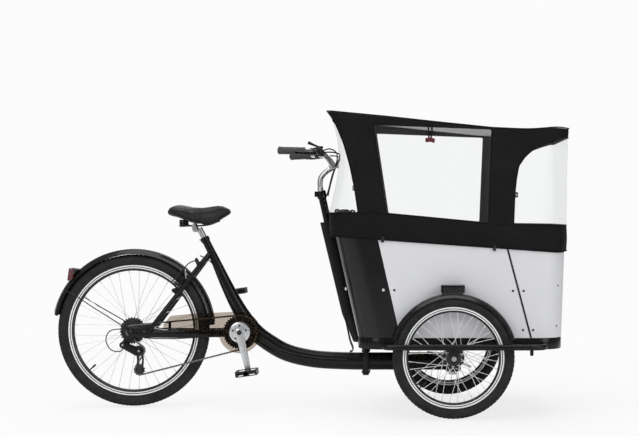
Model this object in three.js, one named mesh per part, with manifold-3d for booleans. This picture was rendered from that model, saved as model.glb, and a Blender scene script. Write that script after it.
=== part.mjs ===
// Three-wheeled front-loading cargo bicycle with a child box, rain hood and box-pivot steering.
// Units are millimetres. +X points forward, +Y to the rider's left, +Z up.
// The origin is on the ground, in the bicycle's centre plane, straight below the rear axle.
// The whole front end (chassis, box, two wheels, handlebar) turns about a vertical kingpin.

import * as THREE from "three";
import { mergeVertices } from "three/addons/utils/BufferGeometryUtils.js";
import Module from "manifold-3d";

const wasm = await Module();
wasm.setup();

// ---------------------------------------------------------------- driving dimensions
const WHEELBASE = 1379;
const TRACK = 760; // between the two front wheel planes
const GAP = 0.3; // between pieces that rest on each other
const EPS = 1; // how far a cutting tool runs past the face it cuts

const REAR = { tyreR: 330, tyreHalf: 25, rimR: 285.5, rimInnerR: 259, spokes: 36 };
const FRONT = { tyreR: 250, tyreHalf: 23.5, rimR: 209, rimInnerR: 185, spokes: 36 };
const WHEEL_SEGMENTS = 36;
const SPOKE_SIDES = 3;

const BB = { x: 468, z: 325 }; // bottom bracket axis
const CRANK_LENGTH = 170;
const CRANK_ANGLE = THREE.MathUtils.degToRad(-76.7); // right crank at rest, from +X towards +Z
const CHAIN_Y = -52; // chain line, right of the centre plane
const CHAIN_PITCH = 12.7;
const CHAINRING_TEETH = 36;
const SPROCKET_TEETH = [12, 14, 16, 18, 21, 24, 28];
const SPROCKET_SPACING = 5;
const PULLEY_TEETH = 11;
const GUIDE_PULLEY = { x: 34, z: 246 };
const TENSION_PULLEY = { x: 35, z: 163 };

const SEAT_TUBE_TOP = new THREE.Vector3(304.8, 0, 734.5);
const SEAT_DIRECTION = new THREE.Vector3(-0.454, 0, 0.891).normalize();
const SEAT_POST_R = 12.7;

const PIVOT = { x: 1390, pinR: 12.5, headR: 34, headLow: 152, headHigh: 262 };

const BOX = {
  lowZ: 325, // underside of the panels
  rearLowX: 984, // rear wall at the underside
  frontLowX: 1835, // front wall at the underside
  rearSlope: -0.2238, // X moved per millimetre of height
  frontSlope: 0.036,
  halfWidth: 325,
  corner: 100, // plan radius of the four corners
  wall: 9,
  topRearZ: 792, // top edge at the rear wall
  topFall: 0.0575, // fall of the top edge per millimetre of X
};
const CHASSIS = { lowZ: 277, highZ: BOX.lowZ - GAP, rail: 24, barY: 430, barZ: 296, barR: 12 };
const AXLE_Z = FRONT.tyreR;

const POST_SLOPE = -0.2215; // X moved per millimetre of height
const POST_TOP = new THREE.Vector3(817, 0, 923);
const BAR_CLAMP = new THREE.Vector3(867, 0, 1045);

const RIGHT = -1;
const LEFT = 1;

// ---------------------------------------------------------------- materials
const finish = (color, roughness, metalness) =>
  new THREE.MeshStandardMaterial({ color, roughness, metalness });
const MATERIALS = {
  blackPaint: finish(0x151515, 0.35, 0.4),
  blackPlastic: finish(0x1b1b1b, 0.55, 0),
  blackFabric: finish(0x161414, 0.85, 0),
  tyre: finish(0x232323, 0.85, 0),
  rubber: finish(0x2a2a2a, 0.8, 0),
  saddle: finish(0x2c2c2e, 0.6, 0),
  silver: finish(0xc4c6c8, 0.3, 1),
  steel: finish(0x8f8f92, 0.35, 1),
  darkSteel: finish(0x2c2a28, 0.4, 0.9),
  whitePanel: finish(0xdcdcde, 0.35, 0),
  blackPanel: finish(0x141414, 0.4, 0),
  wood: finish(0xb98f5e, 0.6, 0),
  redLens: finish(0x5a1620, 0.2, 0),
  smoke: finish(0xa89684, 0.25, 0),
};

// ---------------------------------------------------------------- geometry helpers
const v2 = (x, y) => new THREE.Vector2(x, y);
const v3 = (x, y, z) => new THREE.Vector3(x, y, z);
const polar = (centre, radius, degrees) => {
  const a = THREE.MathUtils.degToRad(degrees);
  return v2(centre.x + radius * Math.cos(a), centre.z + radius * Math.sin(a));
};

// A closed BufferGeometry as a manifold-3d solid, facing out whichever way it was wound.
function solid(geometry) {
  const flat = geometry.index ? geometry.toNonIndexed() : geometry;
  const bare = new THREE.BufferGeometry().setAttribute("position", flat.getAttribute("position"));
  const merged = mergeVertices(bare, 1e-3);
  const make = (triVerts) =>
    new wasm.Manifold(
      new wasm.Mesh({ numProp: 3, vertProperties: merged.attributes.position.array, triVerts }),
    );
  const made = make(new Uint32Array(merged.index.array));
  if (made.volume() > 0) return made;
  return make(new Uint32Array(merged.index.array).reverse());
}

function geometryOf(made) {
  const m = made.getMesh();
  const geometry = new THREE.BufferGeometry();
  geometry.setAttribute("position", new THREE.BufferAttribute(m.vertProperties, 3));
  geometry.setIndex(new THREE.BufferAttribute(m.triVerts, 1));
  geometry.computeVertexNormals();
  return geometry;
}

const join = (...solids) => solids.flat().reduce((a, b) => a.add(b));

// Straight round bar between two points.
function rod(a, b, radius, sides = 12) {
  const axis = b.clone().sub(a);
  const geometry = new THREE.CylinderGeometry(radius, radius, axis.length(), sides);
  const turn = new THREE.Quaternion().setFromUnitVectors(v3(0, 1, 0), axis.clone().normalize());
  const place = new THREE.Matrix4().compose(
    a.clone().add(b).multiplyScalar(0.5),
    turn,
    v3(1, 1, 1),
  );
  return solid(geometry.applyMatrix4(place));
}

// Round bar along Y, between two Y values.
const cross = (x, z, y0, y1, radius, sides = 16) => rod(v3(x, y0, z), v3(x, y1, z), radius, sides);

// Round tube bent along a smooth curve through the points.
function bentTube(points, radius, steps = 16, sides = 10) {
  const section = new THREE.Shape();
  section.absarc(0, 0, radius, 0, 2 * Math.PI);
  const path = new THREE.CatmullRomCurve3(points, false, "centripetal");
  return solid(
    new THREE.ExtrudeGeometry(section, {
      steps,
      curveSegments: sides / 2,
      extrudePath: path,
      bevelEnabled: false,
    }),
  );
}

// Block between two opposite corners.
function block(x0, x1, y0, y1, z0, z1) {
  const geometry = new THREE.BoxGeometry(x1 - x0, y1 - y0, z1 - z0);
  return solid(geometry.translate((x0 + x1) / 2, (y0 + y1) / 2, (z0 + z1) / 2));
}

// Plate parallel to the XZ plane: an outline of (x, z) points, between two Y values.
function plate(outline, y0, y1, holes = []) {
  const shape = new THREE.Shape(outline);
  shape.holes = holes.map((h) => new THREE.Path(h));
  const geometry = new THREE.ExtrudeGeometry(shape, { depth: y1 - y0, bevelEnabled: false });
  return solid(geometry.rotateX(Math.PI / 2).translate(0, y1, 0));
}

// Plate parallel to the ground: an outline of (x, y) points, between two heights.
function slab(outline, z0, z1) {
  const geometry = new THREE.ExtrudeGeometry(new THREE.Shape(outline), {
    depth: z1 - z0,
    bevelEnabled: false,
  });
  return solid(geometry.translate(0, 0, z0));
}

// Points round an arc, from one angle to another in degrees.
function arc(centre, radius, from, to, steps) {
  return Array.from({ length: steps + 1 }, (_, i) =>
    polar(centre, radius, from + ((to - from) * i) / steps),
  );
}

const circle = (centre, radius, steps = 24) => arc(centre, radius, 0, 360, steps).slice(0, -1);

// Solid of revolution about the Y axis from (radius, y) points. A ring's profile closes on itself.
function turned(profile, segments, phase = 0) {
  const closed = profile[0].x > 0 ? [...profile, profile[0]] : profile;
  return solid(new THREE.LatheGeometry(closed, segments, phase));
}

// Closed solid through a stack of convex rings with equal point counts.
function loft(rings) {
  const n = rings[0].length;
  const positions = rings.flat().flatMap((p) => [p.x, p.y, p.z]);
  const index = [];
  for (let r = 0; r + 1 < rings.length; r++) {
    for (let i = 0; i < n; i++) {
      const [a, b] = [r * n + i, r * n + ((i + 1) % n)];
      index.push(a, b, b + n, a, b + n, a + n);
    }
  }
  const last = (rings.length - 1) * n;
  for (let i = 1; i + 1 < n; i++) {
    index.push(0, i + 1, i, last, last + i, last + i + 1);
  }
  const geometry = new THREE.BufferGeometry();
  geometry.setAttribute("position", new THREE.Float32BufferAttribute(positions, 3));
  geometry.setIndex(index);
  return solid(geometry);
}

// Oval tube whose section changes along its length, for a line that runs mostly along X or Z.
// Each station is [x, y, z, half width across Y, half height in the XZ plane].
function ovalTube(stations, steps, sides) {
  const smooth = (points) => new THREE.CatmullRomCurve3(points, false, "centripetal");
  const centre = smooth(stations.map(([x, y, z]) => v3(x, y, z)));
  const size = smooth(stations.map(([x, , , across, up]) => v3(across, up, x)));
  const rings = [];
  for (let k = 0; k <= steps; k++) {
    const c = centre.getPoint(k / steps);
    const d = centre.getTangent(k / steps);
    const s = size.getPoint(k / steps);
    const up = v3(-d.z, 0, d.x).normalize();
    rings.push(
      Array.from({ length: sides }, (_, i) => {
        const a = (2 * Math.PI * (i + 0.5)) / sides;
        return c
          .clone()
          .addScaledVector(v3(0, 1, 0), s.x * Math.cos(a))
          .addScaledVector(up, s.y * Math.sin(a));
      }),
    );
  }
  return loft(rings);
}

// Toothed disc outline: tips and roots alternate round the centre.
function toothOutline(centre, teeth, depth) {
  const pitchR = pitchRadius(teeth);
  return Array.from({ length: teeth * 2 }, (_, i) =>
    polar(centre, i % 2 ? pitchR - depth : pitchR + depth, (360 * (i / 2 + 0.25)) / teeth),
  );
}

const pitchRadius = (teeth) => CHAIN_PITCH / 2 / Math.sin(Math.PI / teeth);

// ---------------------------------------------------------------- the assembly
const bike = new THREE.Group();
const nodes = new Map();

// Adds one named piece to a group. The geometry is in the group's own frame.
function add(group, name, made, material) {
  const mesh = new THREE.Mesh(geometryOf(made), material);
  mesh.name = name;
  nodes.set(name, mesh);
  group.add(mesh);
  return mesh;
}

function groupAt(parent, x, y, z) {
  const group = new THREE.Group();
  group.position.set(x, y, z);
  parent.add(group);
  return group;
}

// ---------------------------------------------------------------- wheels
// A wheel turns about its own Y axis. The lowest tread facet is flat on the ground.
function tyreSolid(w) {
  const seatR = w.rimR + GAP;
  const middleR = (seatR + w.tyreR) / 2;
  const halfHeight = (w.tyreR - seatR) / 2;
  const toCorner = 1 / Math.cos(Math.PI / 8);
  const toFlat = 1 / Math.cos(Math.PI / WHEEL_SEGMENTS);
  const profile = Array.from({ length: 8 }, (_, i) => {
    const a = ((i + 0.5) * Math.PI) / 4;
    const radius = middleR + halfHeight * toCorner * Math.cos(a);
    return v2(radius * toFlat, w.tyreHalf * toCorner * Math.sin(a));
  });
  return turned(profile, WHEEL_SEGMENTS, Math.PI / WHEEL_SEGMENTS);
}

function rimSolid(w) {
  const halfWidth = 12;
  const trackHeight = 13;
  const profile = [
    v2(w.rimR, -halfWidth),
    v2(w.rimR, halfWidth),
    v2(w.rimR - trackHeight, halfWidth),
    v2(w.rimInnerR, halfWidth / 2),
    v2(w.rimInnerR, -halfWidth / 2),
    v2(w.rimR - trackHeight, -halfWidth),
  ];
  return turned(profile, WHEEL_SEGMENTS, Math.PI / WHEEL_SEGMENTS);
}

// Spokes run straight from two flanges to the rim, alternating sides.
function spokeSolids(w, flanges) {
  const spokeR = 1.3;
  const nippleEnd = w.rimInnerR * Math.cos(Math.PI / WHEEL_SEGMENTS) - 1;
  return Array.from({ length: w.spokes }, (_, i) => {
    const a = (2 * Math.PI * i) / w.spokes;
    const flange = flanges[i % 2];
    const point = (r, y) => v3(r * Math.cos(a), y, r * Math.sin(a));
    return rod(point(flange.r - 3, flange.y), point(nippleEnd, 0), spokeR, SPOKE_SIDES);
  });
}

function addRearWheel() {
  const wheel = groupAt(bike, 0, 0, REAR.tyreR);
  add(wheel, "rear_tyre", tyreSolid(REAR), MATERIALS.tyre);
  add(wheel, "rear_rim", rimSolid(REAR), MATERIALS.silver);
  const bore = 6.5;
  const hub = turned(
    [
      v2(bore, -58.4), v2(14, -58.4), v2(14, -18.6), v2(31, -17), v2(31, -13),
      v2(18, -9), v2(18, 26), v2(28, 30), v2(28, 34), v2(14, 38), v2(14, 58.4), v2(bore, 58.4),
    ],
    18,
  );
  const flanges = [{ r: 31, y: -15 }, { r: 28, y: 32 }];
  add(wheel, "rear_hub", join(hub, spokeSolids(REAR, flanges)), MATERIALS.darkSteel);
}

function addFrontWheel(side, suffix) {
  const wheel = groupAt(bike, WHEELBASE, (side * TRACK) / 2, FRONT.tyreR);
  add(wheel, `front_tyre_${suffix}`, tyreSolid(FRONT), MATERIALS.tyre);
  add(wheel, `front_rim_${suffix}`, rimSolid(FRONT), MATERIALS.silver);
  // The wide drum faces the box; the hub's Y runs away from the centre plane on both sides.
  const bore = 7.5;
  const profile = [
    v2(bore, -34), v2(42, -34), v2(44, -10), v2(44, -6), v2(22, 0),
    v2(22, 24), v2(30, 27), v2(30, 31), v2(14, 36), v2(bore, 36),
  ].map((p) => v2(p.x, p.y * side));
  const flanges = [{ r: 44, y: -8 * side }, { r: 30, y: 29 * side }];
  const hub = join(turned(profile, 18), spokeSolids(FRONT, flanges));
  add(wheel, `front_hub_${suffix}`, hub, MATERIALS.darkSteel);
}

// ---------------------------------------------------------------- rear frame
const DROPOUT_Y = 59; // inner face
const DROPOUT_THICK = 6;

// One big tube sweeps from the seat clamp down and forward to the steering head.
function mainTube() {
  return ovalTube(
    [
      [SEAT_TUBE_TOP.x, 0, SEAT_TUBE_TOP.z, 16.5, 16.5],
      [333, 0, 679, 17, 17],
      [365, 0, 610, 20, 21],
      [397, 0, 540, 22, 25],
      [437, 0, 459, 25, 29],
      [478, 0, 388, 27, 33],
      [530, 0, 320, 29, 37],
      [590, 0, 274, 30, 38],
      [662, 0, 234, 30, 38],
      [774, 0, 206, 30, 38],
      [924, 0, 196, 30, 38],
      [1120, 0, 195, 30, 38],
      [PIVOT.x - 8, 0, 195, 30, 38],
    ],
    22,
    14,
  );
}

// Seat stay: a straight line in side view, from the dropout up to the seat tube.
const STAY_LOW = v2(86, 341);
const STAY_UP = v2(0.605, 0.796);
const stayPoint = (along, y) => v3(STAY_LOW.x + STAY_UP.x * along, y, STAY_LOW.y + STAY_UP.y * along);

function stays(side) {
  const seatStay = bentTube(
    [stayPoint(-22, side * 68.5), stayPoint(60, side * 66.5), stayPoint(185, side * 50),
      stayPoint(290, side * 43.5), stayPoint(350, side * 34), stayPoint(405, side * 12)],
    10.5,
    10,
    10,
  );
  const chainStay = ovalTube(
    [[52, side * 63, 319, 8, 16], [170, side * 60, 318, 9, 17], [315, side * 44, 318, 9, 17],
      [392, side * 33, 320, 9, 17], [456, side * 20, 323, 9, 15]],
    6,
    10,
  );
  return [seatStay, chainStay];
}

function dropout(side) {
  const outline = [v2(-16, 318), v2(-12, 342), v2(8, 350), v2(70, 352), v2(96, 340), v2(96, 308),
    v2(14, 306)];
  const hanger = [v2(20, 308), v2(-10, 314), v2(-44, 282), v2(-44, 262), v2(-28, 262), v2(16, 292)];
  const inner = DROPOUT_Y;
  const outer = DROPOUT_Y + DROPOUT_THICK;
  const [y0, y1] = side > 0 ? [inner, outer] : [-outer, -inner];
  const ear = plate(outline, y0, y1, [circle({ x: 0, z: REAR.tyreR }, 6, 12)]);
  return side === RIGHT ? ear.add(plate(hanger, y0, y1)) : ear;
}

function addFrame() {
  const shell = cross(BB.x, BB.z, -34, 34, 22, 20);
  const bridge = cross(362, 319, -40, 40, 7, 8);
  const flange = block(998, 1024, -42, 42, 136, 256);
  const head = rod(v3(PIVOT.x, 0, PIVOT.headLow), v3(PIVOT.x, 0, PIVOT.headHigh), PIVOT.headR, 24);
  const brakeBosses = [LEFT, RIGHT].map((side) =>
    rod(brakePoint(side, 0, -19), brakePoint(side, 0, 10), 4.5, 10),
  );
  const seatBore = rod(
    SEAT_TUBE_TOP.clone().addScaledVector(SEAT_DIRECTION, EPS),
    SEAT_TUBE_TOP.clone().addScaledVector(SEAT_DIRECTION, -230),
    SEAT_POST_R + 0.7,
    20,
  );
  const frame = join(mainTube(), flange, shell, bridge, head, brakeBosses, stays(LEFT), stays(RIGHT),
    dropout(LEFT), dropout(RIGHT))
    .subtract(cross(BB.x, BB.z, -40, 40, 9.3, 20))
    .subtract(rod(v3(PIVOT.x, 0, 100), v3(PIVOT.x, 0, 300), PIVOT.pinR + 0.6, 20))
    .subtract(seatBore);
  add(bike, "rear_frame", frame, MATERIALS.blackPaint);
}

function addFrameFittings() {
  const axle = join(
    cross(0, REAR.tyreR, -74, 74, 5, 12),
    cross(0, REAR.tyreR, -73, -DROPOUT_Y - DROPOUT_THICK - GAP, 9, 6),
    cross(0, REAR.tyreR, DROPOUT_Y + DROPOUT_THICK + GAP, 73, 9, 6),
  );
  add(bike, "rear_axle", axle, MATERIALS.steel);

  const kingpin = join(
    rod(v3(PIVOT.x, 0, 142), v3(PIVOT.x, 0, 318), PIVOT.pinR, 20),
    rod(v3(PIVOT.x, 0, 138), v3(PIVOT.x, 0, PIVOT.headLow - GAP), 21, 6),
  );
  add(bike, "kingpin", kingpin, MATERIALS.steel);
  const collarTop = SEAT_TUBE_TOP.clone().addScaledVector(SEAT_DIRECTION, -2);
  const collarLow = SEAT_TUBE_TOP.clone().addScaledVector(SEAT_DIRECTION, -20);
  const collar = join(
    rod(collarLow, collarTop, 20, 20),
    cross(290, 723, -12, 12, 4, 10),
  ).subtract(rod(collarLow.clone().addScaledVector(SEAT_DIRECTION, -30),
    collarTop.clone().addScaledVector(SEAT_DIRECTION, 30), 17.8, 20));
  add(bike, "seat_clamp", collar, MATERIALS.blackPaint);
}

// ---------------------------------------------------------------- rear mudguard, light
const FENDER_R = 350;
const FENDER_HALF = 30;

function fenderBand(centre, radius, halfWidth, from, to, steps, y = 0) {
  const outline = [
    ...arc(centre, radius + 3, from, to, steps),
    ...arc(centre, radius, to, from, steps),
  ];
  return plate(outline, y - halfWidth, y + halfWidth);
}

function addRearFender() {
  const axle = { x: 0, z: REAR.tyreR };
  add(bike, "rear_fender", fenderBand(axle, FENDER_R, FENDER_HALF, 4, 169, 24), MATERIALS.blackPlastic);
  for (const [side, suffix] of [[LEFT, "left"], [RIGHT, "right"]]) {
    const end = polar(axle, FENDER_R + 1, 149);
    const stay = bentTube(
      [v3(-20, side * 68.5, 344), v3(-160, side * 52, 428), v3(end.x, side * (FENDER_HALF + 3), end.y)],
      2.4, 4, 6,
    );
    add(bike, `fender_stay_${suffix}`, stay, MATERIALS.blackPaint);
  }
  const foot = (degrees) => polar(axle, FENDER_R + 3.6, degrees);
  const lamp = plate([v2(-284, 545), foot(137), foot(134.5), foot(132), v2(-276, 603)], -36, 36);
  add(bike, "tail_light", lamp, MATERIALS.redLens);
}

// ---------------------------------------------------------------- transmission
function addCrankset() {
  const crank = groupAt(bike, BB.x, 0, BB.z);
  const origin = { x: 0, z: 0 };
  const pedalAt = (angle) => v3(CRANK_LENGTH * Math.cos(angle), 0, CRANK_LENGTH * Math.sin(angle));
  // Tapered arm between two Y values, with a round boss at each end and a pedal spindle.
  const arm = (angle, y0, y1, spindleEnd) => {
    const p = pedalAt(angle);
    const across = v2(-Math.sin(angle), Math.cos(angle));
    const corner = (at, half) => v2(at.x + across.x * half, at.z + across.y * half);
    const outline = [corner(origin, 19), corner(origin, -19), corner(p, -11), corner(p, 11)];
    const [lo, hi] = [Math.min(y0, y1), Math.max(y0, y1)];
    return join(
      plate(outline, lo, hi),
      cross(0, 0, y0, y1, 19, 16),
      cross(p.x, p.z, y0, y1, 11.5, 12),
      cross(p.x, p.z, y0, spindleEnd, 4.8, 8),
    );
  };
  const right = join(
    arm(CRANK_ANGLE, -68, -82, -172),
    cross(0, 0, -70, CHAIN_Y - 2, 46, 24),
    cross(0, 0, -70, 60, 8.5, 12),
  );
  add(crank, "crank_right", right, MATERIALS.silver);
  const left = arm(CRANK_ANGLE + Math.PI, 60 + GAP, 76, 166);
  add(crank, "crank_left", left, MATERIALS.silver);
  const ring = plate(toothOutline(origin, CHAINRING_TEETH, 2.4), CHAIN_Y - 1.5, CHAIN_Y + 1.5, [
    circle(origin, 36, 20),
  ]);
  add(crank, "chainring", ring, MATERIALS.darkSteel);
  for (const [side, suffix, angle] of [[RIGHT, "right", CRANK_ANGLE], [LEFT, "left", CRANK_ANGLE + Math.PI]]) {
    const p = pedalAt(angle);
    const pedal = groupAt(crank, p.x, 0, p.z);
    pedal.rotation.y = THREE.MathUtils.degToRad(-8);
    const [y0, y1] = [side * 86, side * 174].sort((a, b) => a - b);
    const body = block(-46, 46, y0, y1, -12, 12).subtract(cross(0, 0, y0 - EPS, y1 + EPS, 5.9, 12));
    add(pedal, `pedal_${suffix}`, body, MATERIALS.blackPlastic);
  }
}

const sprocketY = (i) => CHAIN_Y + i * SPROCKET_SPACING;

// A stepped cone, one step per sprocket. The chain sits on the smallest, which has its teeth cut.
function addSprocketCluster() {
  const cluster = groupAt(bike, 0, 0, REAR.tyreR);
  const bore = 15.2;
  const halfThick = 1;
  const profile = [v2(bore, sprocketY(0) - halfThick), v2(pitchRadius(SPROCKET_TEETH[0]) - 4, sprocketY(0) - halfThick)];
  SPROCKET_TEETH.slice(1).forEach((teeth, i) => {
    const inside = profile[profile.length - 1].x;
    const y = sprocketY(i + 1) - halfThick;
    profile.push(v2(inside, y), v2(pitchRadius(teeth) + 1, y));
  });
  const innerY = sprocketY(SPROCKET_TEETH.length - 1) + halfThick;
  profile.push(v2(profile[profile.length - 1].x, innerY), v2(bore, innerY));
  const axle = { x: 0, z: 0 };
  const driven = plate(toothOutline(axle, SPROCKET_TEETH[0], 3), CHAIN_Y - halfThick, CHAIN_Y + halfThick,
    [circle(axle, 18, 16)]);
  add(cluster, "sprocket_cluster", turned(profile, 24).add(driven), MATERIALS.darkSteel);
}

// The chain is one closed band over the tips of the teeth, through the two pulleys.
function chainLine() {
  const lift = 5.6; // from the pitch circle to the middle of the band
  const ring = { x: BB.x, z: BB.z, r: pitchRadius(CHAINRING_TEETH) + lift, turn: 1 };
  const sprocket = { x: 0, z: REAR.tyreR, r: pitchRadius(SPROCKET_TEETH[0]) + lift, turn: 1 };
  const guide = { ...GUIDE_PULLEY, r: pitchRadius(PULLEY_TEETH) + lift, turn: -1 };
  const tension = { ...TENSION_PULLEY, r: pitchRadius(PULLEY_TEETH) + lift, turn: 1 };
  const loop = [ring, sprocket, guide, tension];
  // Directed tangent from circle a to circle b; turn is +1 for anticlockwise in the XZ view.
  const tangent = (a, b) => {
    const [dx, dz] = [b.x - a.x, b.z - a.z];
    const length = Math.hypot(dx, dz);
    const heading = Math.atan2(dz, dx) + Math.asin((a.turn * a.r - b.turn * b.r) / length);
    return [a, b].map((c) => heading - (c.turn * Math.PI) / 2);
  };
  const points = [];
  loop.forEach((c, i) => {
    const before = loop[(i + 3) % 4];
    const after = loop[(i + 1) % 4];
    const start = tangent(before, c)[1];
    let end = tangent(c, after)[0];
    while ((end - start) * c.turn < 0) end += c.turn * 2 * Math.PI;
    while ((end - start) * c.turn > 2 * Math.PI) end -= c.turn * 2 * Math.PI;
    const steps = Math.max(3, Math.round(Math.abs(end - start) / 0.28));
    for (let k = 0; k <= steps; k++) {
      const a = start + ((end - start) * k) / steps;
      points.push(v2(c.x + c.r * Math.cos(a), c.z + c.r * Math.sin(a)));
    }
  });
  return points;
}

function addChain() {
  const line = chainLine();
  const half = 2; // half the band's thickness
  const offset = (amount) =>
    line.map((p, i) => {
      const before = line[(i + line.length - 1) % line.length];
      const after = line[(i + 1) % line.length];
      const along = after.clone().sub(before).normalize();
      return v2(p.x + along.y * amount, p.y - along.x * amount);
    });
  add(bike, "chain", plate(offset(half), CHAIN_Y - 3.5, CHAIN_Y + 3.5, [offset(-half)]), MATERIALS.steel);
}

const GUARD_Y = CHAIN_Y - 10;

function addChainGuard() {
  const outline = [
    ...arc(BB, 90, 95, -165, 22),
    v2(372, 345), v2(138, 345), v2(138, 356), v2(168, 396), v2(259, 405), v2(355, 412),
  ];
  const bracket = join(
    plate([v2(160, 336.5), v2(172, 336.5), v2(172, 372), v2(160, 372)], GUARD_Y - 2, GUARD_Y + 1),
    block(158, 174, GUARD_Y - 2, -52, 335.8, 338.2),
  );
  const sheet = plate(outline, GUARD_Y - 1, GUARD_Y + 1, [circle(BB, 52, 24)]);
  add(bike, "chain_guard", sheet.add(bracket), MATERIALS.smoke);
}

function addDerailleur() {
  const cageOut = CHAIN_Y - 5;
  const cageIn = CHAIN_Y + 5;
  const near = -DROPOUT_Y - DROPOUT_THICK - GAP;
  const far = near - 14;
  const link = [v2(-42, 262), v2(-30, 254), v2(24, 224), v2(46, 236), v2(42, 258), v2(-22, 282), v2(-40, 282)];
  const body = join(
    plate(link, far, near),
    cross(-34, 272, far - 2, near, 14, 12),
    cross(GUIDE_PULLEY.x, GUIDE_PULLEY.z, far - 2, cageOut - 2 - GAP, 14, 12),
  );
  add(bike, "derailleur_body", body, MATERIALS.blackPaint);

  const cageOutline = [
    ...arc(GUIDE_PULLEY, 15, 170, 10, 5),
    v2(52, 205),
    ...arc(TENSION_PULLEY, 14, 10, -170, 5),
    v2(24, 205),
  ];
  const cage = join(
    plate(cageOutline, cageOut - 2, cageOut),
    plate(cageOutline, cageIn, cageIn + 2),
    [GUIDE_PULLEY, TENSION_PULLEY].map((p) => cross(p.x, p.z, cageOut - 1, cageIn + 1, 3.2, 8)),
  );
  add(bike, "derailleur_cage", cage, MATERIALS.steel);
  for (const [name, p] of [["guide_pulley", GUIDE_PULLEY], ["tension_pulley", TENSION_PULLEY]]) {
    const pulley = groupAt(bike, p.x, CHAIN_Y, p.z);
    const wheel = plate(toothOutline({ x: 0, z: 0 }, PULLEY_TEETH, 2.6), -2, 2, [
      circle({ x: 0, z: 0 }, 4.2, 12),
    ]);
    add(pulley, name, wheel, MATERIALS.blackPlastic);
  }
}

// ---------------------------------------------------------------- rear brake
// Both arms swing on bosses behind the seat stays and press their pads on the rim.
const BRAKE_ALONG = 188; // boss position along the stay
const BRAKE_BEHIND = 20; // arm's middle plane behind the stay's centre line
const BRAKE_Y = 46;

// Point on an arm: a distance up the arm from its pivot, and a distance behind its middle plane.
function brakePoint(side, up, behind, y = BRAKE_Y) {
  const p = stayPoint(BRAKE_ALONG + up, side * y);
  const back = BRAKE_BEHIND + behind;
  return v3(p.x - STAY_UP.y * back, p.y, p.z + STAY_UP.x * back);
}

function addRearBrake() {
  for (const [side, suffix] of [[LEFT, "left"], [RIGHT, "right"]]) {
    const corner = (up, behind) => {
      const p = brakePoint(side, up, behind);
      return v2(p.x, p.z);
    };
    const [y0, y1] = [side * 39, side * 51].sort((a, b) => a - b);
    const body = plate([corner(-8, -5), corner(96, -5), corner(96, 4), corner(-8, 7)], y0, y1);
    const padMiddle = brakePoint(side, 24, 0, 17.2);
    const tangent = v3(-(padMiddle.z - REAR.tyreR), 0, padMiddle.x).normalize();
    const pad = rod(padMiddle.clone().addScaledVector(tangent, -27),
      padMiddle.clone().addScaledVector(tangent, 27), 4, 8);
    const post = rod(padMiddle, brakePoint(side, 24, 0, 42), 3, 6);
    const bore = rod(brakePoint(side, 0, -30), brakePoint(side, 0, 30), 4.9, 10);
    add(bike, `rear_brake_arm_${suffix}`, join(body, pad, post).subtract(bore), MATERIALS.blackPaint);
  }
}

// ---------------------------------------------------------------- seat
function addSeat() {
  const at = (distance) => SEAT_TUBE_TOP.clone().addScaledVector(SEAT_DIRECTION, distance);
  add(bike, "seat_post", join(rod(at(-170), at(44), SEAT_POST_R, 20), cross(268, 768, -22, 22, 11, 12),
    rod(at(36), v3(270, 0, 766), 9, 12)), MATERIALS.silver);

  // Two rails, held by the clamp, rise to the shell at nose and tail.
  const rail = (side) => join(
    bentTube([v3(212, side * 26, 797), v3(224, side * 26, 789), v3(240, side * 24, 785),
      v3(320, side * 22, 788), v3(372, side * 10, 806)], 3.6, 10, 6),
    rod(v3(218, side * 44, 780), v3(218, side * 44, 801), 14, 10),
  );
  const spring = block(209, 227, -44, 44, 787, 795);
  add(bike, "saddle_rails", join(rail(LEFT), rail(RIGHT), spring,
    cross(368, 804, -14, 14, 4, 6)), MATERIALS.darkSteel);

  // Saddle body as a stack of cross-sections along X: [x, half width, top, bottom].
  const sections = [
    [153, 62, 850, 832], [164, 92, 868, 827], [190, 104, 875, 820], [225, 100, 870, 807],
    [255, 84, 863, 794], [300, 54, 861, 784], [326, 43, 864, 781], [345, 38, 867, 788],
    [373, 33, 871, 804], [388, 30, 872, 814], [414, 22, 863, 832], [426, 10, 849, 840],
  ];
  const eased = (value, power) => Math.sign(value) * Math.abs(value) ** power;
  const rings = sections.map(([x, half, top, low]) =>
    Array.from({ length: 16 }, (_, i) => {
      const a = (2 * Math.PI * (i + 0.5)) / 16;
      const rise = ((top - low) / 2) * eased(Math.sin(a), 0.75);
      return v3(x, half * eased(Math.cos(a), 0.6), (top + low) / 2 + rise);
    }),
  );
  // The sides hang down round the rails, which run in a channel under the shell.
  const channelSide = [v2(196, 31), v2(250, 30), v2(320, 27), v2(345, 24), v2(380, 19)];
  const channel = slab([...channelSide.map((p) => v2(p.x, -p.y)), ...channelSide.reverse()], 700, 812);
  add(bike, "saddle", loft(rings).subtract(channel), MATERIALS.saddle);
}

// ---------------------------------------------------------------- box geometry
const boxTop = (x) => BOX.topRearZ - BOX.topFall * (x - 880);
const rearWallX = (z) => BOX.rearLowX + BOX.rearSlope * (z - BOX.lowZ);
const frontWallX = (z) => BOX.frontLowX + BOX.frontSlope * (z - BOX.lowZ);

// Plan outline of the box at a height, inset from its outer face, as (x, y) points.
function boxOutline(z, inset, cornerSteps = 5) {
  const radius = BOX.corner - inset;
  const [x0, x1] = [rearWallX(z) + inset + radius, frontWallX(z) - inset - radius];
  const y = BOX.halfWidth - inset - radius;
  const corner = (cx, cy, from) => arc({ x: cx, z: cy }, radius, from, from + 90, cornerSteps);
  return [...corner(x1, y, 0), ...corner(x0, y, 90), ...corner(x0, -y, 180), ...corner(x1, -y, 270)];
}

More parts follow.
